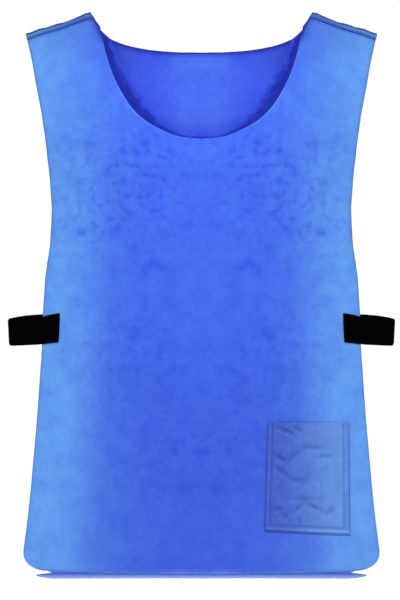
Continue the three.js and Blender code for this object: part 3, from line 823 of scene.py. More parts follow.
def brushed_cooling_cloth(colours):
    """Brushed polyvinyl-alcohol cooling cloth: matt, with a faint nap that lifts the grazing light.
    Painted shade makes it deeper in colour in its creases, in the hollows of its fine crinkles, in front
    of the seams and in the front neckline's shadow, and it is darker in blotches at random, the same on
    both sides of the centre line. The panel's attributes say how far each of the other colours is mixed
    in: painted side light, and painted highlights and shade along the edges."""
    material, tree = new_material("brushed_cooling_cloth")
    coords = add_node(tree, "ShaderNodeTexCoord")
    share = {
        name: add_node(tree, "ShaderNodeAttribute", {"attribute_name": name}).outputs["Fac"]
        for name in ("wash", "low", "rim", "hem", "navy", "inner", "neck", "crinkled", "crease")
    }
    # Painted light and shade: the outside is lighter at its sides and darker low down, the inside darker at
    # its sides
    middle = add_node(
        tree,
        "ShaderNodeMix",
        {"data_type": "RGBA"},
        {0: share["low"], 6: opaque(colours.middle), 7: opaque(colours.low)},
    )
    outside = add_node(
        tree,
        "ShaderNodeMix",
        {"data_type": "RGBA"},
        {0: share["wash"], 6: middle.outputs[2], 7: opaque(colours.side)},
    )
    inside = add_node(
        tree,
        "ShaderNodeMix",
        {"data_type": "RGBA"},
        {0: share["wash"], 6: opaque(colours.inside), 7: opaque(colours.inside_side)},
    )
    base = add_node(
        tree,
        "ShaderNodeMix",
        {"data_type": "RGBA"},
        {0: share["inner"], 6: outside.outputs[2], 7: inside.outputs[2]},
    )
    # Painted highlights on the hem and neckline, and painted shade along the rim and the necklines
    edges = {"hem": colours.glint, "rim": colours.rim, "neck": colours.neck_rim, "navy": colours.fold}
    for name, tint in edges.items():
        base = add_node(
            tree,
            "ShaderNodeMix",
            {"data_type": "RGBA"},
            {0: share[name], 6: base.outputs[2], 7: opaque(tint)},
        )
    parts = add_node(tree, "ShaderNodeSeparateXYZ", inputs={0: coords.outputs["Object"]})
    across = add_node(tree, "ShaderNodeMath", {"operation": "ABSOLUTE"}, {0: parts.outputs[0]})
    mirrored = add_node(
        tree,
        "ShaderNodeCombineXYZ",
        inputs={0: across.outputs[0], 1: share["inner"], 2: parts.outputs[2]},
    )
    # Darker in blotches at random
    blotch = add_node(
        tree,
        "ShaderNodeTexNoise",
        inputs={"Vector": mirrored.outputs[0], "Scale": 1 / (24 * MM), "Detail": 4, "Roughness": 0.65},
    )
    dull = add_node(
        tree,
        "ShaderNodeMapRange",
        inputs={"Value": blotch.outputs[0], "From Min": 0.62, "From Max": 0.34, "To Max": 0.4},
    )
    # Painted shade: specks darken the hollows of the fine bump, most where the cloth is crinkled
    speck = add_node(
        tree,
        "ShaderNodeTexNoise",
        inputs={"Vector": mirrored.outputs[0], "Scale": 1 / (8.5 * MM), "Detail": 0.6, "Distortion": 0.25},
    )
    pressed = add_node(
        tree,
        "ShaderNodeMapRange",
        {"interpolation_type": "SMOOTHSTEP"},
        {"Value": speck.outputs[0], "From Min": 0.55, "From Max": 0.2},
    )
    gathered = add_node(
        tree,
        "ShaderNodeMath",
        {"operation": "MULTIPLY_ADD"},
        {0: pressed.outputs[0], 1: share["crinkled"], 2: share["crease"]},
    )
    creased = add_node(
        tree,
        "ShaderNodeMath",
        {"operation": "ADD", "use_clamp": True},
        {0: gathered.outputs[0], 1: dull.outputs[0]},
    )
    mottled = add_node(
        tree,
        "ShaderNodeMix",
        {"data_type": "RGBA", "blend_type": "MULTIPLY"},
        {0: creased.outputs[0], 6: base.outputs[2], 7: opaque(colours.crease)},
    )
    nap = add_node(
        tree,
        "ShaderNodeTexNoise",
        inputs={"Vector": coords.outputs["Object"], "Scale": 1 / (1.6 * MM), "Detail": 3},
    )
    raised = add_node(
        tree,
        "ShaderNodeMath",
        {"operation": "MULTIPLY"},
        {0: speck.outputs[0], 1: share["crinkled"]},
    )
    fine = add_node(
        tree,
        "ShaderNodeBump",
        inputs={"Height": raised.outputs[0], "Strength": 1, "Distance": 1.1 * MM},
    )
    bump = add_node(
        tree,
        "ShaderNodeBump",
        inputs={
            "Height": nap.outputs[0],
            "Strength": 0.35,
            "Distance": 0.25 * MM,
            "Normal": fine.outputs[0],
        },
    )
    cloth = add_node(
        tree,
        "ShaderNodeBsdfPrincipled",
        inputs={
            "Base Color": mottled.outputs[2],
            "Roughness": 0.85,
            "Specular IOR Level": 0.25,
            "Sheen Weight": 0.12,
            "Sheen Roughness": 0.5,
            "Sheen Tint": (0.7, 0.85, 1, 1),
            "Normal": bump.outputs[0],
        },
    )
    finish_material(tree, cloth)
    return material


def turned_neck_cloth(colours):
    """The same cloth turned in at the neck, in painted shade: deep blue in the fold behind the edge, and
    painted lighter in streaks towards its free edge, where the light gets in."""
    material, tree = new_material("turned_neck_cloth")
    coords = add_node(tree, "ShaderNodeTexCoord")
    shown = add_node(tree, "ShaderNodeAttribute", {"attribute_name": "shown"})
    streak = add_node(
        tree,
        "ShaderNodeTexNoise",
        inputs={"Vector": coords.outputs["Object"], "Scale": 1 / (10 * MM), "Detail": 1, "Roughness": 0.5},
    )
    lighter = add_node(
        tree,
        "ShaderNodeMapRange",
        inputs={
            "Value": streak.outputs[0],
            "From Min": 0.3,
            "From Max": 0.7,
            "To Min": -0.2,
            "To Max": 0.2,
        },
    )
    opened = add_node(
        tree,
        "ShaderNodeMath",
        {"operation": "ADD"},
        {0: shown.outputs["Fac"], 1: lighter.outputs[0]},
    )
    ramp = add_node(
        tree,
        "ShaderNodeMapRange",
        {"interpolation_type": "SMOOTHSTEP"},
        {"Value": opened.outputs[0], "From Min": 0.2, "From Max": 1.05},
    )
    base = add_node(
        tree,
        "ShaderNodeMix",
        {"data_type": "RGBA"},
        {0: ramp.outputs[0], 6: opaque(colours.fold), 7: opaque(colours.turned)},
    )
    bump = add_node(
        tree,
        "ShaderNodeBump",
        inputs={"Height": streak.outputs[0], "Strength": 0.5, "Distance": 0.5 * MM},
    )
    cloth = add_node(
        tree,
        "ShaderNodeBsdfPrincipled",
        inputs={
            "Base Color": base.outputs[2],
            "Roughness": 0.9,
            "Specular IOR Level": 0.15,
            "Normal": bump.outputs[0],
        },
    )
    finish_material(tree, cloth)
    return material


def rolled_hem_cloth(colours):
    """The same cloth rolled and sewn at the back's hem: its underside is painted pale as painted light from
    below, and its ends lighter as painted side light.
    """
    material, tree = new_material("rolled_hem_cloth")
    coords = add_node(tree, "ShaderNodeTexCoord")
    lower = add_node(tree, "ShaderNodeAttribute", {"attribute_name": "lower"})
    wash = add_node(tree, "ShaderNodeAttribute", {"attribute_name": "wash"})
    washed = add_node(
        tree,
        "ShaderNodeMix",
        {"data_type": "RGBA"},
        {0: wash.outputs["Fac"], 6: opaque(colours.hem_middle), 7: opaque(colours.hem_side)},
    )
    base = add_node(
        tree,
        "ShaderNodeMix",
        {"data_type": "RGBA"},
        {0: lower.outputs["Fac"], 6: washed.outputs[2], 7: opaque(colours.hem)},
    )
    grain = add_node(
        tree,
        "ShaderNodeTexNoise",
        inputs={"Vector": coords.outputs["Object"], "Scale": 1 / (5 * MM), "Detail": 3},
    )
    bump = add_node(
        tree,
        "ShaderNodeBump",
        inputs={"Height": grain.outputs[0], "Strength": 0.4, "Distance": 0.4 * MM},
    )
    cloth = add_node(
        tree,
        "ShaderNodeBsdfPrincipled",
        inputs={"Base Color": base.outputs[2], "Roughness": 0.85, "Normal": bump.outputs[0]},
    )
    finish_material(tree, cloth)
    return material


def pressed_seam_cloth(colours):
    """The same cloth doubled and stitched flat, in painted shade a little duller in the hollows of its
    bump, and dark along its ridge and its edges. Its outer end is painted lighter as painted side light."""
    material, tree = new_material("pressed_seam_cloth")
    coords = add_node(tree, "ShaderNodeTexCoord")
    rim = add_node(tree, "ShaderNodeAttribute", {"attribute_name": "rim"})
    pull = add_node(
        tree,
        "ShaderNodeTexNoise",
        inputs={"Vector": coords.outputs["Object"], "Scale": 1 / (6 * MM), "Detail": 4, "Roughness": 0.6},
    )
    shade = add_node(
        tree,
        "ShaderNodeMapRange",
        inputs={"Value": pull.outputs[0], "From Min": 0.3, "From Max": 0.7, "To Min": 0.9, "To Max": 1.06},
    )
    wash = add_node(tree, "ShaderNodeAttribute", {"attribute_name": "wash"})
    washed = add_node(
        tree,
        "ShaderNodeMix",
        {"data_type": "RGBA"},
        {0: wash.outputs["Fac"], 6: opaque(colours.seam), 7: opaque(colours.seam_side)},
    )
    base = add_node(
        tree,
        "ShaderNodeMix",
        {"data_type": "RGBA"},
        {0: rim.outputs["Fac"], 6: washed.outputs[2], 7: opaque(colours.ridge)},
    )
    mottled = add_node(
        tree,
        "ShaderNodeMix",
        {"data_type": "RGBA", "blend_type": "MULTIPLY"},
        {0: 1.0, 6: base.outputs[2], 7: shade.outputs[0]},
    )
    bump = add_node(
        tree,
        "ShaderNodeBump",
        inputs={"Height": pull.outputs[0], "Strength": 0.5, "Distance": 0.4 * MM},
    )
    cloth = add_node(
        tree,
        "ShaderNodeBsdfPrincipled",
        inputs={
            "Base Color": mottled.outputs[2],
            "Roughness": 0.85,
            "Specular IOR Level": 0.25,
            "Sheen Weight": 0.1,
            "Normal": bump.outputs[0],
        },
    )
    finish_material(tree, cloth)
    return material


def calendered_pocket_nylon(colours):
    """Thin plain-woven nylon, calendered: smoother than the panel. Its attributes say where its sewn border
    lies, where painted shade dulls a crease and its seams, and where a painted highlight brightens it;
    its outer side is painted lighter as painted side light."""
    material, tree = new_material("calendered_pocket_nylon")
    coords = add_node(tree, "ShaderNodeTexCoord")
    share = {
        name: add_node(tree, "ShaderNodeAttribute", {"attribute_name": name}).outputs["Fac"]
        for name in ("wash", "border", "crease", "light")
    }
    base = add_node(
        tree,
        "ShaderNodeMix",
        {"data_type": "RGBA"},
        {0: share["wash"], 6: opaque(colours.pocket), 7: opaque(colours.pocket_side)},
    )
    bordered = add_node(
        tree,
        "ShaderNodeMix",
        {"data_type": "RGBA"},
        {0: share["wash"], 6: opaque(colours.border), 7: opaque(colours.border_side)},
    )
    edged = add_node(
        tree,
        "ShaderNodeMix",
        {"data_type": "RGBA"},
        {0: share["border"], 6: base.outputs[2], 7: bordered.outputs[2]},
    )
    creased = add_node(
        tree,
        "ShaderNodeMix",
        {"data_type": "RGBA", "blend_type": "MULTIPLY"},
        {0: share["crease"], 6: edged.outputs[2], 7: opaque(colours.pocket_crease)},
    )
    lit = add_node(
        tree,
        "ShaderNodeMix",
        {"data_type": "RGBA", "blend_type": "DIVIDE"},
        {0: share["light"], 6: creased.outputs[2], 7: opaque(colours.pocket_shine)},
    )
    cloud = add_node(
        tree,
        "ShaderNodeTexNoise",
        inputs={"Vector": coords.outputs["Object"], "Scale": 1 / (10 * MM), "Detail": 4, "Roughness": 0.65},
    )
    shade = add_node(
        tree,
        "ShaderNodeMapRange",
        inputs={
            "Value": cloud.outputs[0],
            "From Min": 0.3,
            "From Max": 0.7,
            "To Min": 0.87,
            "To Max": 1.08,
        },
    )
    mottled = add_node(
        tree,
        "ShaderNodeMix",
        {"data_type": "RGBA", "blend_type": "MULTIPLY"},
        {0: 1.0, 6: lit.outputs[2], 7: shade.outputs[0]},
    )
    weave = add_node(
        tree,
        "ShaderNodeTexNoise",
        inputs={"Vector": coords.outputs["Object"], "Scale": 1 / (1.1 * MM), "Detail": 2},
    )
    bump = add_node(
        tree,
        "ShaderNodeBump",
        inputs={"Height": weave.outputs[0], "Strength": 0.25, "Distance": 0.15 * MM},
    )
    nylon = add_node(
        tree,
        "ShaderNodeBsdfPrincipled",
        inputs={
            "Base Color": mottled.outputs[2],
            "Roughness": 0.55,
            "Specular IOR Level": 0.3,
            "Sheen Weight": 0.05,
            "Normal": bump.outputs[0],
        },
    )
    finish_material(tree, nylon)
    return material


def black_woven_elastic(colours):
    """Black polyester-covered rubber webbing: dull, with the light lost between its ribs."""
    material, tree = new_material("black_woven_elastic")
    coords = add_node(tree, "ShaderNodeTexCoord")
    yarn = add_node(
        tree,
        "ShaderNodeTexNoise",
        inputs={"Vector": coords.outputs["Object"], "Scale": 1 / (0.9 * MM), "Detail": 2},
    )
    bump = add_node(
        tree,
        "ShaderNodeBump",
        inputs={"Height": yarn.outputs[0], "Strength": 0.5, "Distance": 0.2 * MM},
    )
    elastic = add_node(
        tree,
        "ShaderNodeBsdfPrincipled",
        inputs={
            "Base Color": opaque(colours.elastic),
            "Roughness": 0.95,
            "Specular IOR Level": 0.02,
            "Normal": bump.outputs[0],
        },
    )
    finish_material(tree, elastic)
    return material


def spun_sewing_thread(colours):
    """Spun polyester thread: matt, a little darker than the cloth that it sinks into."""
    material, tree = new_material("spun_sewing_thread")
    thread = add_node(
        tree,
        "ShaderNodeBsdfPrincipled",
        inputs={"Base Color": opaque(colours.thread), "Roughness": 0.8, "Specular IOR Level": 0.2},
    )
    finish_material(tree, thread)
    return material


def material_of(context, maker):
    """The material that a function makes, made once."""
    found = bpy.data.materials.get(maker.__name__)
    return found or maker(context.scene.vest_colours)


def stitches(path, normals, thread, pitch):
    """Short rounded lengths of thread along a path of points, one to a pitch. Each has three rings
    turned about the path's way: at an angle a its reach is cos(a) of half a stitch, and its radius
    the root of sin(a) of half the thread. It is a little flattened towards the cloth."""
    way = path_lengths(path)
    middles = np.arange(pitch / 2, way[-1], pitch)
    ends = middles[:, None] + np.array([-1, 1]) * pitch * STITCH_SHARE / 2
    start, end, centre, lift = (
        np.stack([np.interp(places, way, values[:, k]) for k in range(3)], axis=-1)
        for places, values in ((ends[:, 0], path), (ends[:, 1], path), (middles, path), (middles, normals))
    )
    along = (end - start) / 2
    lift = unit(lift)
    side = unit(np.cross(along, lift))
    rings = np.array([0.12, 0.5, 0.88]) * np.pi
    turns = np.arange(STITCH_SIDES) * 2 * np.pi / STITCH_SIDES
    radius = np.sin(rings)[:, None] ** 0.5 * thread / 2
    reach = np.broadcast_to(np.cos(rings)[:, None], (3, STITCH_SIDES))
    body = (
        centre[:, None, None]
        + reach[..., None] * along[:, None, None]
        + (radius * np.cos(turns))[..., None] * side[:, None, None]
        + (radius * np.sin(turns) * STITCH_FLATNESS)[..., None] * lift[:, None, None]
    )
    points = np.concatenate([body.reshape(len(centre), -1, 3), start[:, None], end[:, None]], axis=1)
    ring = np.arange(STITCH_SIDES)
    beside = (ring + 1) % STITCH_SIDES
    last = 3 * STITCH_SIDES
    walls = [
        np.stack([ring + k, ring + k + STITCH_SIDES, beside + k + STITCH_SIDES, beside + k], axis=-1)
        for k in (0, STITCH_SIDES)
    ]
    caps = [
        np.stack([ring, beside, np.full_like(ring, last + 1), np.full_like(ring, last + 1)], axis=-1),
        np.stack([beside, ring, np.full_like(ring, last), np.full_like(ring, last)], axis=-1)
        + np.array([2, 2, 0, 0]) * STITCH_SIDES,
    ]
    one = np.concatenate([*walls, *caps])
    faces = one + np.arange(len(centre))[:, None, None] * points.shape[1]
    return points.reshape(-1, 3), faces.reshape(-1, 4)


def make_stitches(context, name, lines, slot):
    """One piece of all the stitches along several lines, each a path with its normals."""
    surface = context.scene.vest_surface
    points, faces, count = [], [], 0
    for path, normals in lines:
        some, quads = stitches(path, normals, surface.thread, surface.stitch_pitch)
        points.append(some)
        faces.append(quads + count)
        count += len(some)
    points, faces = np.concatenate(points), np.concatenate(faces)
    return make_piece(context, name, points, faces, spun_sewing_thread, slot)


def neck_turning(front, back):
    """The front neckline's turned edge as two grids, seen and hidden, and how far each point lies from
    the neckline as a share of what shows there. A point goes from behind the panel towards the
    opening, and back off the panel's inner face by more than it has gone. Smooth noise makes the
    width ragged and puckers the cloth, more towards its free edge, the same on both sides of the
    middle. High up, the width stays within what is left between the two panels' necklines."""
    cut, seed = front.cut, front.seed
    clear_of_seam = 9 * MM
    root = 4 * MM
    lean = 1.3
    half = neck_line(front, 0, TURN_COLUMNS // 2)
    line = np.concatenate([half * (-1, 1), half[-2::-1]])
    line = line[front.shoulder(line[:, 0]) - line[:, 1] > clear_of_seam]
    way = path_lengths(line)
    tangent = unit(np.gradient(line, axis=0))
    inward = np.stack([-tangent[:, 1], tangent[:, 0]], axis=-1)
    z = line[:, 1]
    from_middle = np.abs(way - way[-1] / 2)
    ragged = 1 + 0.35 * gradient_noise(from_middle / (13 * MM), way * 0, seed + 30)
    shown = cut.turn_width * read_table(TURNING, "down", -z / cut.front_neck_drop, "shown") * ragged
    between = 0.8 * np.abs(front.neck(z) - back.neck(z))
    shown = np.minimum(shown, np.where(z > -back.neck_drop, between, shown))
    share = np.linspace(0, 1, TURN_ROWS + 1)[:, None]
    out = (shown + root) * share - root
    puckers = 0.6 * MM * share * gradient_noise(from_middle / (9 * MM), share * 1.2, seed + 31)
    height = puckers - cut.cloth - 0.5 * MM - lean * shown * smooth(share, 0.15, 1)
    height = np.minimum(height, -cut.cloth - 0.4 * MM)
    place = line[None] + inward[None] * out[..., None]
    seen = front.off(place[..., 0], place[..., 1], height)
    facing = unit(np.cross(np.gradient(seen, axis=1), np.gradient(seen, axis=0)))
    facing *= np.sign(-np.sum(facing[..., 1]))
    return seen, seen - facing * cut.turn_cloth, np.maximum(out, 0) / np.maximum(shown, 1 * MM)


def turned_piece(context):
    """The front neckline's turned edge, a closed strip of cloth behind the front panel's edge."""
    cut, surface = context.scene.vest_cut, context.scene.vest_surface
    seen, hidden, shown = neck_turning(Panel(cut, surface, True), Panel(cut, surface, False))
    points, faces, home, _ = shell(seen, hidden, cut.turn_cloth * 0.4, strips=3)
    return make_piece(
        context,
        "front_neck_turning",
        points,
        faces,
        turned_neck_cloth,
        "cooling_cloth",
        shown=shown.ravel()[home],
    )


def neck_shadow(front, stage, x, z):
    """How deep each place of the back's inside lies in the front neckline's soft shadow: a soft line
    along the neckline, thrown on the back from the height and distance of the camera."""
    cut = front.cut
    spread = (stage.camera_distance + cut.back_depth) / (stage.camera_distance - cut.chest_depth)
    line = neck_line(front, 0, SHADOW_COLUMNS)
    line = np.stack([line[:, 0], line[:, 1] - stage.camera_height], axis=-1) * spread
    line[:, 1] += stage.camera_height
    place = np.stack([np.abs(x).ravel(), z.ravel()], axis=-1)
    gap = np.full(len(place), np.inf)
    for a, b in zip(line[:-1], line[1:]):
        share = np.clip((place - a) @ (b - a) / np.sum((b - a) ** 2), 0, 1)
        gap = np.minimum(gap, np.linalg.norm(place - a - share[:, None] * (b - a), axis=1))
    return NECK_SHADOW * fading(gap, NECK_SHADOW_BREADTH)


def front_shades(panel, x, z, home, through):
    """Painted light and shade of the front alone at each point: a painted highlight on the rolled edge of
    its neckline low down and painted shade high up, a painted shadow in front of each seam, and painted
    highlights along the hem."""
    cut = panel.cut
    across, height = np.abs(x).ravel()[home], z.ravel()[home]
    edge = (home < x.shape[1]) & (across < cut.neck_half_width)
    high = smooth(height, *NECK_SHADED)
    beside = (np.abs(x) - panel.neck(z)).ravel()[home]
    line = fading(beside, NECK_LINE_BREADTH) + NECK_HAZE * fading(beside, NECK_HAZE_BREADTH)
    below = panel.shoulder(across) - height - cut.seam_front_drop
    return {
        "navy": np.maximum(edge & (through > 0.45), np.minimum(1, high * line)),
        "neck": NECK_RIM * edge * (through < 0.45) * smooth(across, *NECK_LIT) * (1 - high),
        "deep": fading(below, SEAM_LINE_BREADTH),
        "hem": swell(HEM_GLINTS, x, z, cut.chest_half_width, panel.length, 1).ravel()[home],
    }


def back_shades(panel, stage, x, z, home, through):
    """Painted shade of the back alone at each point: the dark edge of its neckline, the line behind that,
    and the painted shadow of the front's neckline on its inside."""
    cut = panel.cut
    across = np.abs(x).ravel()[home]
    row = home // x.shape[1]
    edge = (row == 0) & (across < cut.neck_half_width)
    behind = (row == 1) & (through == 1) & (across < BACK_NECK_REACH)
    front = Panel(cut, panel.surface, True)
    return {
        "navy": np.maximum(edge & (through > 0.05), BACK_NECK * behind),
        "neck": np.zeros(len(home)),
        "deep": neck_shadow(front, stage, x, z)[home] * (through > 0.5),
        "hem": np.zeros(len(home)),
    }


def panel_piece(context, name, front):
    """A panel as a closed shell with a rolled rim. Its inner face lies a cloth's thickness inside, and
    along a seam straight below the outer one."""
    cut = context.scene.vest_cut
    panel = Panel(cut, context.scene.vest_surface, front)
    roll = cut.cloth * 0.3
    x, z = panel_grid(panel, roll)
    outer = panel.off(x, z, 0)
    inner = panel.off(x, z, -cut.cloth)
    below = outer[0].copy()
    below[:, 2] -= cut.cloth / panel.normal(x[0], z[0])[:, 2]
    on_seam = np.abs(x[0]) >= cut.neck_half_width
    inner[0] = np.where(on_seam[:, None], below, inner[0])
    points, faces, home, through = shell(outer, inner, roll)

    def swelling(ridges):
        return swell(ridges, np.abs(x), z, cut.chest_half_width, panel.length, 1).ravel()[home]

    if front:
        shades = front_shades(panel, x, z, home, through)
    else:
        shades = back_shades(panel, context.scene.vest_stage, x, z, home, through)
    # Painted shade on the inside towards its sides, and painted side light on the outside
    inside_wash = smooth(np.abs(x), *INSIDE_WASH).ravel()[home]
    # Painted shade along the rolled rim and close to the cut edges
    edge_gap = np.minimum(panel.edge(z) - np.abs(x), z + panel.length).ravel()[home]
    rim_breadth = FRONT_RIM_BREADTH if front else BACK_RIM_BREADTH
    rim = np.maximum((through > 0) & (through < 1), np.exp(-edge_gap / rim_breadth))
    at_neck = (home < x.shape[1]) & (np.abs(x).ravel()[home] < cut.neck_half_width)
    # Painted shade in the pressed creases and in the specks of the crinkled cloth
    outside = (through < 0.5) * (1 if front else BACK_PLAINNESS)
    creased = CREASE_TINT * np.clip(-swelling(CREASES), 0, 1) * outside
    specks = LEAST_SPECKS + (MOST_SPECKS - LEAST_SPECKS) * np.clip(swelling(CRINKLED), 0, 1)
    return make_piece(
        context,
        f"{name}_cloth",
        points,
        faces,
        brushed_cooling_cloth,
        "cooling_cloth",
        (name,),
        wash=np.where(through > 0.5, inside_wash, panel.wash(x, z).ravel()[home]),
        low=smooth(-z / panel.length, *LOW_WASH).ravel()[home],
        inner=through > 0.5,
        hem=shades["hem"],
        rim=rim * ~at_neck * (1 - shades["hem"]),
        neck=shades["neck"],
        navy=shades["navy"],
        crinkled=specks * outside,
        crease=creased + shades["deep"],
    )


def rolled_hem(context):
    """The back's rolled hem: an ellipse carried along the back's lower edge, which shrinks as the root
    of what is left of the way to a tip. Its ends run on past the rounded corners. It sags in a
    parabola, and smooth noise makes its height uneven."""
    cut = context.scene.vest_cut
    back = Panel(cut, context.scene.vest_surface, False)
    reach = cut.hem_half_reach
    x = np.linspace(-1, 1, HEM_COLUMNS + 1)
    x = (x * 0.6 + np.sin(x * np.pi / 2) * 0.4) * reach
    tip = 20 * MM
    taper = np.sqrt(np.clip((reach - np.abs(x)) / tip, 0.012, 1))
    centre = back.off(x, np.full_like(x, -back.length + cut.hem_roll / 2), -cut.cloth / 2)
    centre[:, 2] += (1 - taper) * 0.5 * MM - cut.hem_sag * (1 - (x / reach) ** 2)
    turn = np.linspace(0, 2 * np.pi, HEM_SIDES, endpoint=False)
    outward = back.normal(x, centre[:, 2]) * (1, 1, 0)
    ripple = 1 + 0.12 * gradient_noise(x / (9 * MM), x * 0, back.seed + 40)
    high = cut.hem_roll / 2 * taper * ripple
    thick = (cut.cloth / 2 + 0.7 * MM) * taper
    up = np.array([0, 0, 1.0])
    rings = (
        centre[None]
        + np.cos(turn)[:, None, None] * (high[:, None] * up)[None]
        + np.sin(turn)[:, None, None] * (thick[:, None] * unit(outward))[None]
    )
    count = len(x)
    points = np.concatenate([rings.reshape(-1, 3), centre[:1], centre[-1:]])
    ring = np.arange(HEM_SIDES)
    beside = (ring + 1) % HEM_SIDES
    step = np.arange(count - 1)
    a = ring[:, None] * count + step
    b = beside[:, None] * count + step
    walls = np.stack([a, b, b + 1, a + 1], axis=-1).reshape(-1, 4)
    start, end = len(points) - 2, len(points) - 1
    caps = [
        np.stack([beside * count, ring * count, np.full_like(ring, start)], axis=-1),
        np.stack([ring * count + count - 1, beside * count + count - 1, np.full_like(ring, end)], axis=-1),
    ]
    caps = np.concatenate(caps)
    caps = np.concatenate([caps, caps[:, 2:]], axis=1)
    # The underside is painted pale as painted light from below, and the ends lighter as painted side light
    lower = np.repeat(smooth(-np.cos(turn), -0.7, 0.5), count)
    wash = np.tile(smooth(np.abs(x), *HEM_WASH), HEM_SIDES)
    return make_piece(
        context,
        "back_hem_roll",
        points,
        np.concatenate([walls, caps]),
        rolled_hem_cloth,
        "cooling_cloth",
        lower=np.concatenate([lower, [0, 0]]),
        wash=np.concatenate([wash, [1, 1]]),
    )


class VEST_OT_panels(bpy.types.Operator):
    """Make the front and back panels of crinkled cooling cloth."""

    bl_idname = "vest.panels"
    bl_label = "Panels"

    def execute(self, context):
        cut = context.scene.vest_cut
        trims = {"front": [turned_piece(context)], "back": [rolled_hem(context)]}
        for name, front, long in (("front", True, cut.front_length), ("back", False, cut.back_length)):
            piece = panel_piece(context, f"{name}_panel", front)
        return {"FINISHED"}


def seam_point(front, back, hand, along, over, height):
    """A point of a seam strip. over goes from -1 at its back edge to 1 at its front edge, and close
    to 0 it turns over the ridge on an arc about the shoulder line. Below that line the strip still
    ends at the neckline and the armhole, which eight rounds find."""
    cut = front.cut
    ridge = 0.16
    fore = np.clip((over - ridge) / (1 - ridge), 0, 1) * cut.seam_front_drop
    aft = np.clip((-over - ridge) / (1 - ridge), 0, 1) * cut.seam_back_drop
    drop = np.maximum(fore, aft)
    place = []
    for panel in (front, back):
        neck = panel.neck(np.zeros_like(drop))
        arm = panel.edge(np.zeros_like(drop))
        for _ in range(8):
            neck = panel.neck(panel.shoulder(neck) - drop)
            arm = panel.edge(panel.shoulder(arm) - drop)
        x = neck * (1 - along) + arm * along
        place.append((x, panel.shoulder(x) - drop))
    behind = over < 0
    x = hand * np.where(behind, place[1][0], place[0][0])
    z = np.where(behind, place[1][1], place[0][1])
    on_front = front.off(x, z, height)
    on_back = back.off(x, z, height)
    turn = smooth(over, -ridge, ridge)[..., None]
    normal = unit(front.normal(x, z) * turn + back.normal(x, z) * (1 - turn))
    on_ridge = np.stack([x, np.zeros_like(x), front.shoulder(x)], axis=-1)
    on_ridge = front.wave(on_ridge + normal * height[..., None], x, z)
    result = np.where((over > ridge)[..., None], on_front, on_ridge)
    return np.where((over < -ridge)[..., None], on_back, result)


class VEST_OT_shoulder_seams(bpy.types.Operator):
    """Make the two stitched shoulder seams."""

    bl_idname = "vest.shoulder_seams"
    bl_label = "Shoulder seams"

    def execute(self, context):
        cut = context.scene.vest_cut
        surface = context.scene.vest_surface
        front = Panel(cut, surface, True)
        back = Panel(cut, surface, False)
        for side, hand in HANDS.items():
            roll = cut.seam_thickness * 0.4
            margin = roll / (cut.shoulder_half_width - cut.neck_half_width)
            along, over = np.meshgrid(
                np.linspace(margin, 1 - margin, SEAM_COLUMNS + 1), np.linspace(-1, 1, SEAM_ROWS + 1)
            )
            low = np.full_like(along, cut.lay_gap)
            pinch = 0.3 * MM * fading(over - STITCH_LINE, 0.09)
            gather = 0.35 * MM * gradient_noise(along * 22 + 5, over * 2.2, surface.seed + 80 + hand)
            outer = seam_point(front, back, hand, along, over, low + cut.seam_thickness - pinch + gather)
            inner = seam_point(front, back, hand, along, over, low)
            points, faces, home, through = shell(outer, inner, roll)
            # Painted shade along the ridge, the front edge and the neck end; the outer end painted lighter
            ridge = 1 - smooth(np.abs(over), 0.3, 0.55)
            front_edge = 0.7 * smooth(over, 0.64, 0.9)
            neck_end = 0.8 * fading(along, 0.03)
            shaded = np.maximum(ridge + front_edge, neck_end).ravel()[home]
            name = f"shoulder_seam_{side}"
            make_piece(
                context,
                f"{name}_cloth",
                points,
                faces,
                pressed_seam_cloth,
                "seam_cloth",
                (name,),
                rim=np.maximum(0.5 * (through > 0), shaded),
                wash=smooth(along, 0.1, 0.9).ravel()[home],
            )
            line = np.linspace(margin, 1 - margin, 200)
            height = np.full_like(line, cut.lay_gap + cut.seam_thickness - THREAD_SINK)
            path = seam_point(front, back, hand, line, np.full_like(line, STITCH_LINE), height)
            normals = front.normal(path[:, 0], path[:, 2])
            make_stitches(context, f"{name}_stitches", [(path, normals)], "seam_cloth")
        return {"FINISHED"}


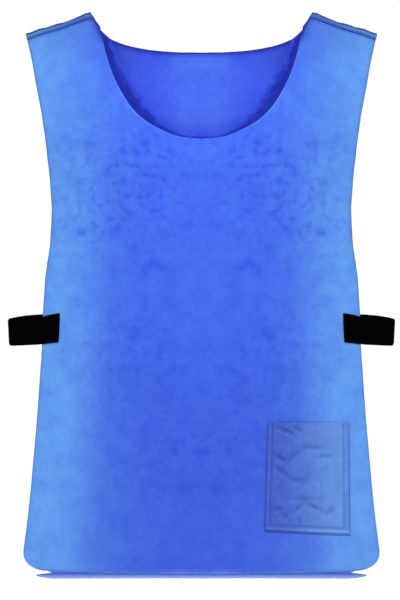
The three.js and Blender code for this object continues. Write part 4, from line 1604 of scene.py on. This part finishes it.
def strap_place(front, back, hand, along, level, height):
    """A point of a strap. along goes from its sewn end in front to that behind, level from its
    bottom edge (-1) to its top (1). It lies on each panel to the panel's edge, and between the
    edges it follows a Bezier cubic that leaves them in their own directions. Its middle stands out
    by 3/8 of both handles' sideways parts, from which their length follows."""
    cut = front.cut
    out = 1 - np.abs(2 * along - 1)
    top = read_table(STRAP_OUTLINE, "along", out, "top")
    bottom = read_table(STRAP_OUTLINE, "along", out, "bottom")
    half = np.where(level > 0, top, bottom) * cut.strap_width / 2
    z = -cut.strap_drop - cut.strap_droop * (1 - np.cos(np.pi * out)) / 2 + level * half
    lap = cut.strap_lap * np.clip(1 - np.minimum(along, 1 - along) / STRAP_LAP_SHARE, 0, 1)
    laid, leave = [], []
    for panel in (front, back):
        laid.append(panel.off(hand * (panel.edge(z) - lap), z, height))
        x = panel.edge(z)
        point = panel.off(x, z, np.full_like(z, cut.lay_gap))
        normal = panel.normal(x, z)
        way = unit(np.stack([normal[..., 1], -normal[..., 0]], axis=-1)) * -panel.side
        leave.append((point[..., :2], way))
    (start, start_way), (end, end_way) = leave
    reach = cut.strap_reach * (1 + STRAP_LEAN * level)[..., None]
    handle = reach * 8 / 3 / (start_way[..., :1] + end_way[..., :1])
    t = np.clip((along - STRAP_LAP_SHARE) / (1 - 2 * STRAP_LAP_SHARE), 0, 1)[..., None]
    knots = (start, start + start_way * handle, end + end_way * handle, end)
    weights = ((1 - t) ** 3, 3 * t * (1 - t) ** 2, 3 * t**2 * (1 - t), t**3)
    place = sum(weight * knot for weight, knot in zip(weights, knots))
    slopes = (3 * (1 - t) ** 2, 6 * t * (1 - t), 3 * t**2)
    way = unit(sum(s * (knots[k + 1] - knots[k]) for k, s in enumerate(slopes)))
    raised = (height - cut.lay_gap)[..., None]
    free = np.stack(
        [
            hand * (place[..., 0] + way[..., 1] * raised[..., 0]),
            place[..., 1] - way[..., 0] * raised[..., 0],
            z,
        ],
        axis=-1,
    )
    in_front = (along < STRAP_LAP_SHARE)[..., None]
    behind = (along > 1 - STRAP_LAP_SHARE)[..., None]
    return np.where(in_front, laid[0], np.where(behind, laid[1], free))


class VEST_OT_side_straps(bpy.types.Operator):
    """Make the two side straps of ribbed elastic."""

    bl_idname = "vest.side_straps"
    bl_label = "Side straps"

    def execute(self, context):
        cut = context.scene.vest_cut
        surface = context.scene.vest_surface
        front = Panel(cut, surface, True)
        back = Panel(cut, surface, False)
        roll = cut.strap_thickness * 0.4
        for side, hand in HANDS.items():
            # The rolled rim takes up the last 2% of the width
            along, level = np.meshgrid(
                np.linspace(0, 1, STRAP_COLUMNS + 1), np.linspace(1, -1, STRAP_ROWS + 1) * 0.98
            )
            low = np.full_like(along, cut.lay_gap)
            centre = strap_place(front, back, hand, along, np.zeros_like(along), low)[0]
            ribs = np.abs(np.sin(np.pi * path_lengths(centre) / surface.rib_pitch)) * surface.rib_height
            selvedge = 1 - 0.5 * smooth(np.abs(level), 0.86, 1)
            thick = (cut.strap_thickness - surface.rib_height + ribs) * selvedge
            outer = strap_place(front, back, hand, along, level, low + thick)
            inner = strap_place(front, back, hand, along, level, low)
            points, faces, *_ = shell(outer, inner, roll, strips=3)
            name = f"side_strap_{side}"
            made = (f"{name}_elastic", points, faces, black_woven_elastic)
            make_piece(context, *made, "strap_elastic", (name,))
        return {"FINISHED"}


def pocket_place(cut, across, down):
    """A place (x, z) on the pocket, mixed from its four corners."""
    shares = []
    for key in ("across", "down"):
        (a, b), (c, d) = POCKET_CORNERS[key]
        top = (1 - across) * a + across * b
        bottom = (1 - across) * c + across * d
        shares.append((1 - down) * top + down * bottom)
    x = cut.pocket_inset + cut.pocket_width * shares[0]
    return x, -cut.pocket_drop - cut.pocket_height * shares[1]


def pocket_lift(cut, surface, across, down):
    """Height of the pocket's cloth off its seat, zero along its three sewn edges: the slack, the
    creases and fine crumpling, times the root of sin(pi across) cos(pi/2 down^3)."""
    sewn = np.sqrt(np.maximum(0, np.sin(np.pi * across) * np.cos(np.pi / 2 * down**3)))
    x, z = across * cut.pocket_width, -down * cut.pocket_height
    creases = swell(POCKET_CREASES, x, z, cut.pocket_width, cut.pocket_height, cut.crease_height)
    fine = crumple(x, z, 17 * MM, surface.seed + 100) + 0.5 * crumple(x, z, 8 * MM, surface.seed + 110)
    return sewn * (cut.pocket_slack + creases + 0.9 * MM * fine)


class VEST_OT_pocket(bpy.types.Operator):
    """Make the creased patch pocket and its stitching."""

    bl_idname = "vest.pocket"
    bl_label = "Pocket"

    def execute(self, context):
        cut = context.scene.vest_cut
        surface = context.scene.vest_surface
        front = Panel(cut, surface, True)
        roll = cut.pocket_thickness * 0.4
        across, down = np.meshgrid(
            np.linspace(0, 1, POCKET_COLUMNS + 1), np.linspace(0, 1, POCKET_ROWS + 1)
        )
        x, z = pocket_place(cut, across, down)
        sides = np.minimum(across, 1 - across) * cut.pocket_width
        inset = np.minimum(sides, (1 - down) * cut.pocket_height)
        border = surface.border
        # The cloth is pulled in along its stitching, and doubled from there to its sewn edges
        groove = surface.groove * fading(inset - border, 1.1 * MM)
        doubled = 0.7 * MM * smooth(border - inset, 0, 1 * MM)
        lift = cut.lay_gap + pocket_lift(cut, surface, across, down)
        seat = np.maximum(0.15 * MM, lift - groove)
        outer = front.off(x, z, seat + cut.pocket_thickness + doubled)
        inner = front.off(x, z, seat)
        points, faces, home, _ = shell(outer, inner, roll)
        # Painted shade in its creases and along its seams, painted highlights above a crease and along its
        # foot, and painted side light on its outer side
        px, pz = across * cut.pocket_width, -down * cut.pocket_height
        size = (cut.pocket_width, cut.pocket_height)
        creases = swell(POCKET_CREASES, px, pz, *size, 1)
        sewn = 0.4 * fading(inset - border, 1.5 * MM) + 0.7 * fading(inset, 1.5 * MM)
        above = -0.3 * swell(POCKET_CREASES, px + 1 * MM, pz + 4 * MM, *size, 1)
        foot = 0.75 * fading(down - 0.981, 0.009)
        piece = make_piece(
            context,
            "front_pocket_nylon",
            points,
            faces,
            calendered_pocket_nylon,
            "pocket_nylon",
            ("front_pocket",),
            wash=smooth(across, 0.1, 0.95).ravel()[home],
            crease=np.clip(sewn - 0.7 * creases, 0, 1).ravel()[home],
            light=np.clip(above + foot, 0, 1).ravel()[home],
            border=0.6 * (1 - smooth(sides, border - 2 * MM, border)).ravel()[home],
        )
        side = border / cut.pocket_width
        top, bottom = 0.01, 1 - border / cut.pocket_height
        corners = np.array([[side, top], [side, bottom], [1 - side, bottom], [1 - side, top]])
        way = np.linspace(0, 1, 400)[:, None]
        lines = []
        for a, b in zip(corners[:-1], corners[1:]):
            share = (a + (b - a) * way).T
            px, pz = pocket_place(cut, *share)
            height = cut.lay_gap + pocket_lift(cut, surface, *share) + cut.pocket_thickness
            path = front.off(px, pz, height - 0.2 * MM)
            lines.append((path, front.normal(px, pz)))
        sewing = make_stitches(context, "front_pocket_stitches", lines, "pocket_nylon")
        return {"FINISHED"}


def studio_floor():
    """Matt, nearly white paint."""
    material, tree = new_material("painted_floor")
    paint = add_node(
        tree, "ShaderNodeBsdfPrincipled", inputs={"Base Color": (0.9, 0.9, 0.9, 1), "Roughness": 0.9}
    )
    finish_material(tree, paint)
    return material


class VEST_OT_stage(bpy.types.Operator):
    """Make the camera, the lights and the floor."""

    bl_idname = "vest.stage"
    bl_label = "Stage"

    def execute(self, context):
        stage = context.scene.vest_stage
        camera = bpy.data.cameras.new("camera")
        camera.sensor_width = 36
        chest = context.scene.vest_cut.chest_depth
        camera.lens = camera.sensor_width * (stage.camera_distance - chest) / stage.frame_height
        viewer = bpy.data.objects.new("camera", camera)
        viewer.location = (stage.camera_side, -stage.camera_distance, stage.camera_height)
        viewer.rotation_euler = (math.pi / 2, 0, 0)
        context.collection.objects.link(viewer)
        context.scene.camera = viewer
        key = (0, -stage.key_distance, stage.key_raise)
        self.light(context, "key", key, stage.key_size, stage.key_power)
        self.light(context, "front", FRONT_LIGHT, FRONT_LIGHT_SIZE, stage.front_power)
        self.neck_light(context, stage)
        self.hem_light(context, stage)
        self.light(context, "back", BACK_LIGHT, BACK_LIGHT_SIZE, stage.back_power)
        for name, hand in HANDS.items():
            place = (hand * SIDE_LIGHT[0], *SIDE_LIGHT[1:])
            self.light(context, f"side_{name}", place, SIDE_LIGHT_SIZE, stage.side_power)
        self.world(context, stage.fill)
        self.floor(context, stage.floor_drop)
        return {"FINISHED"}

    def floor(self, context, drop):
        """A square floor below the vest, which is stage and no part of it."""
        mesh = bpy.data.meshes.new("floor")
        corners = [(-1, -1), (1, -1), (1, 1), (-1, 1)]
        points = [(FLOOR_HALF_SIDE * x, FLOOR_HALF_SIDE * y, -drop) for x, y in corners]
        mesh.from_pydata(points, [], [(0, 1, 2, 3)])
        mesh.materials.append(studio_floor())
        ground = bpy.data.objects.new("floor", mesh)
        context.collection.objects.link(ground)

    def hang(self, context, lamp, place, aim):
        """Hangs a lamp at a place, pointed at another and unseen by the camera."""
        holder = bpy.data.objects.new(lamp.name, lamp)
        holder.location = place
        holder.visible_camera = False
        holder.rotation_euler = (Vector(aim) - Vector(place)).to_track_quat("-Z", "Y").to_euler()
        context.collection.objects.link(holder)

    def light(self, context, name, place, size, watts):
        """A square light, whose place is measured from the origin at the camera's height."""
        height = context.scene.vest_stage.camera_height
        lamp = bpy.data.lights.new(name, "AREA")
        lamp.size = size
        lamp.energy = watts
        self.hang(context, lamp, (place[0], place[1], height + place[2]), (0, 0, height))

    def neck_light(self, context, stage):
        """A spot in front that lights the inside of the back through the neck opening."""
        lamp = bpy.data.lights.new("neck", "SPOT")
        place = Vector((0, -NECK_LIGHT_DISTANCE, stage.neck_aim + NECK_LIGHT_RAISE))
        lamp.spot_size = 2 * math.atan(stage.neck_radius / place.length)
        lamp.spot_blend = 1
        lamp.shadow_soft_size = NECK_LIGHT_RADIUS
        lamp.energy = stage.neck_power
        self.hang(context, lamp, place, (0, 0, stage.neck_aim))

    def hem_light(self, context, stage):
        """A strip light under the vest, behind its front, that shines up at the inside of the back's
        hem."""
        cut = context.scene.vest_cut
        lamp = bpy.data.lights.new("hem", "AREA")
        lamp.shape = "RECTANGLE"
        lamp.size = 2 * cut.hem_half_width
        lamp.size_y = HEM_LIGHT_BREADTH
        lamp.energy = stage.hem_power
        place = (0, -HEM_LIGHT_FORWARD, -cut.back_length - stage.hem_drop)
        self.hang(context, lamp, place, (0, cut.back_depth, -cut.back_length))

    def world(self, context, fill):
        """White as the background, and a dimmer white light from all round."""
        world = bpy.data.worlds.new("studio")
        world.use_nodes = True
        tree = world.node_tree
        tree.nodes.clear()
        path = add_node(tree, "ShaderNodeLightPath")
        seen = add_node(tree, "ShaderNodeBackground", inputs={"Color": (1, 1, 1, 1), "Strength": 1.05})
        lit = add_node(tree, "ShaderNodeBackground", inputs={"Color": (1, 1, 1, 1), "Strength": fill})
        mixed = add_node(
            tree,
            "ShaderNodeMixShader",
            inputs={0: path.outputs["Is Camera Ray"], 1: lit.outputs[0], 2: seen.outputs[0]},
        )
        add_node(tree, "ShaderNodeOutputWorld", inputs={"Surface": mixed.outputs[0]})
        context.scene.world = world
        context.scene.view_settings.view_transform = "Standard"


OPERATORS = (
    VEST_OT_stage,
    VEST_OT_panels,
    VEST_OT_shoulder_seams,
    VEST_OT_side_straps,
    VEST_OT_pocket,
)


class VEST_PT_sidebar(bpy.types.Panel):
    """Lists the vest's pieces and sizes."""

    bl_idname = "VEST_PT_sidebar"
    bl_label = "Cooling vest"
    bl_space_type = "VIEW_3D"
    bl_region_type = "UI"
    bl_category = "Vest"

    def draw(self, context):
        for operator in OPERATORS:
            self.layout.operator(operator.bl_idname)
        for key in GROUPS:
            group = getattr(context.scene, key)
            for name in group.__annotations__:
                self.layout.prop(group, name)


GROUPS = {
    "vest_cut": VestCut,
    "vest_surface": VestSurface,
    "vest_colours": VestColours,
    "vest_stage": VestStage,
}


def register():
    for group in GROUPS.values():
        bpy.utils.register_class(group)
    for name, group in GROUPS.items():
        setattr(bpy.types.Scene, name, PointerProperty(type=group))
    for operator in OPERATORS:
        bpy.utils.register_class(operator)
    bpy.utils.register_class(VEST_PT_sidebar)


def unregister():
    bpy.utils.unregister_class(VEST_PT_sidebar)
    for operator in reversed(OPERATORS):
        bpy.utils.unregister_class(operator)
    for name, group in GROUPS.items():
        delattr(bpy.types.Scene, name)
        bpy.utils.unregister_class(group)


def main():
    register()
    bpy.ops.vest.stage()
    bpy.ops.vest.panels()
    bpy.ops.vest.shoulder_seams()
    bpy.ops.vest.side_straps()
    bpy.ops.vest.pocket()


if __name__ == "__main__":
    main()
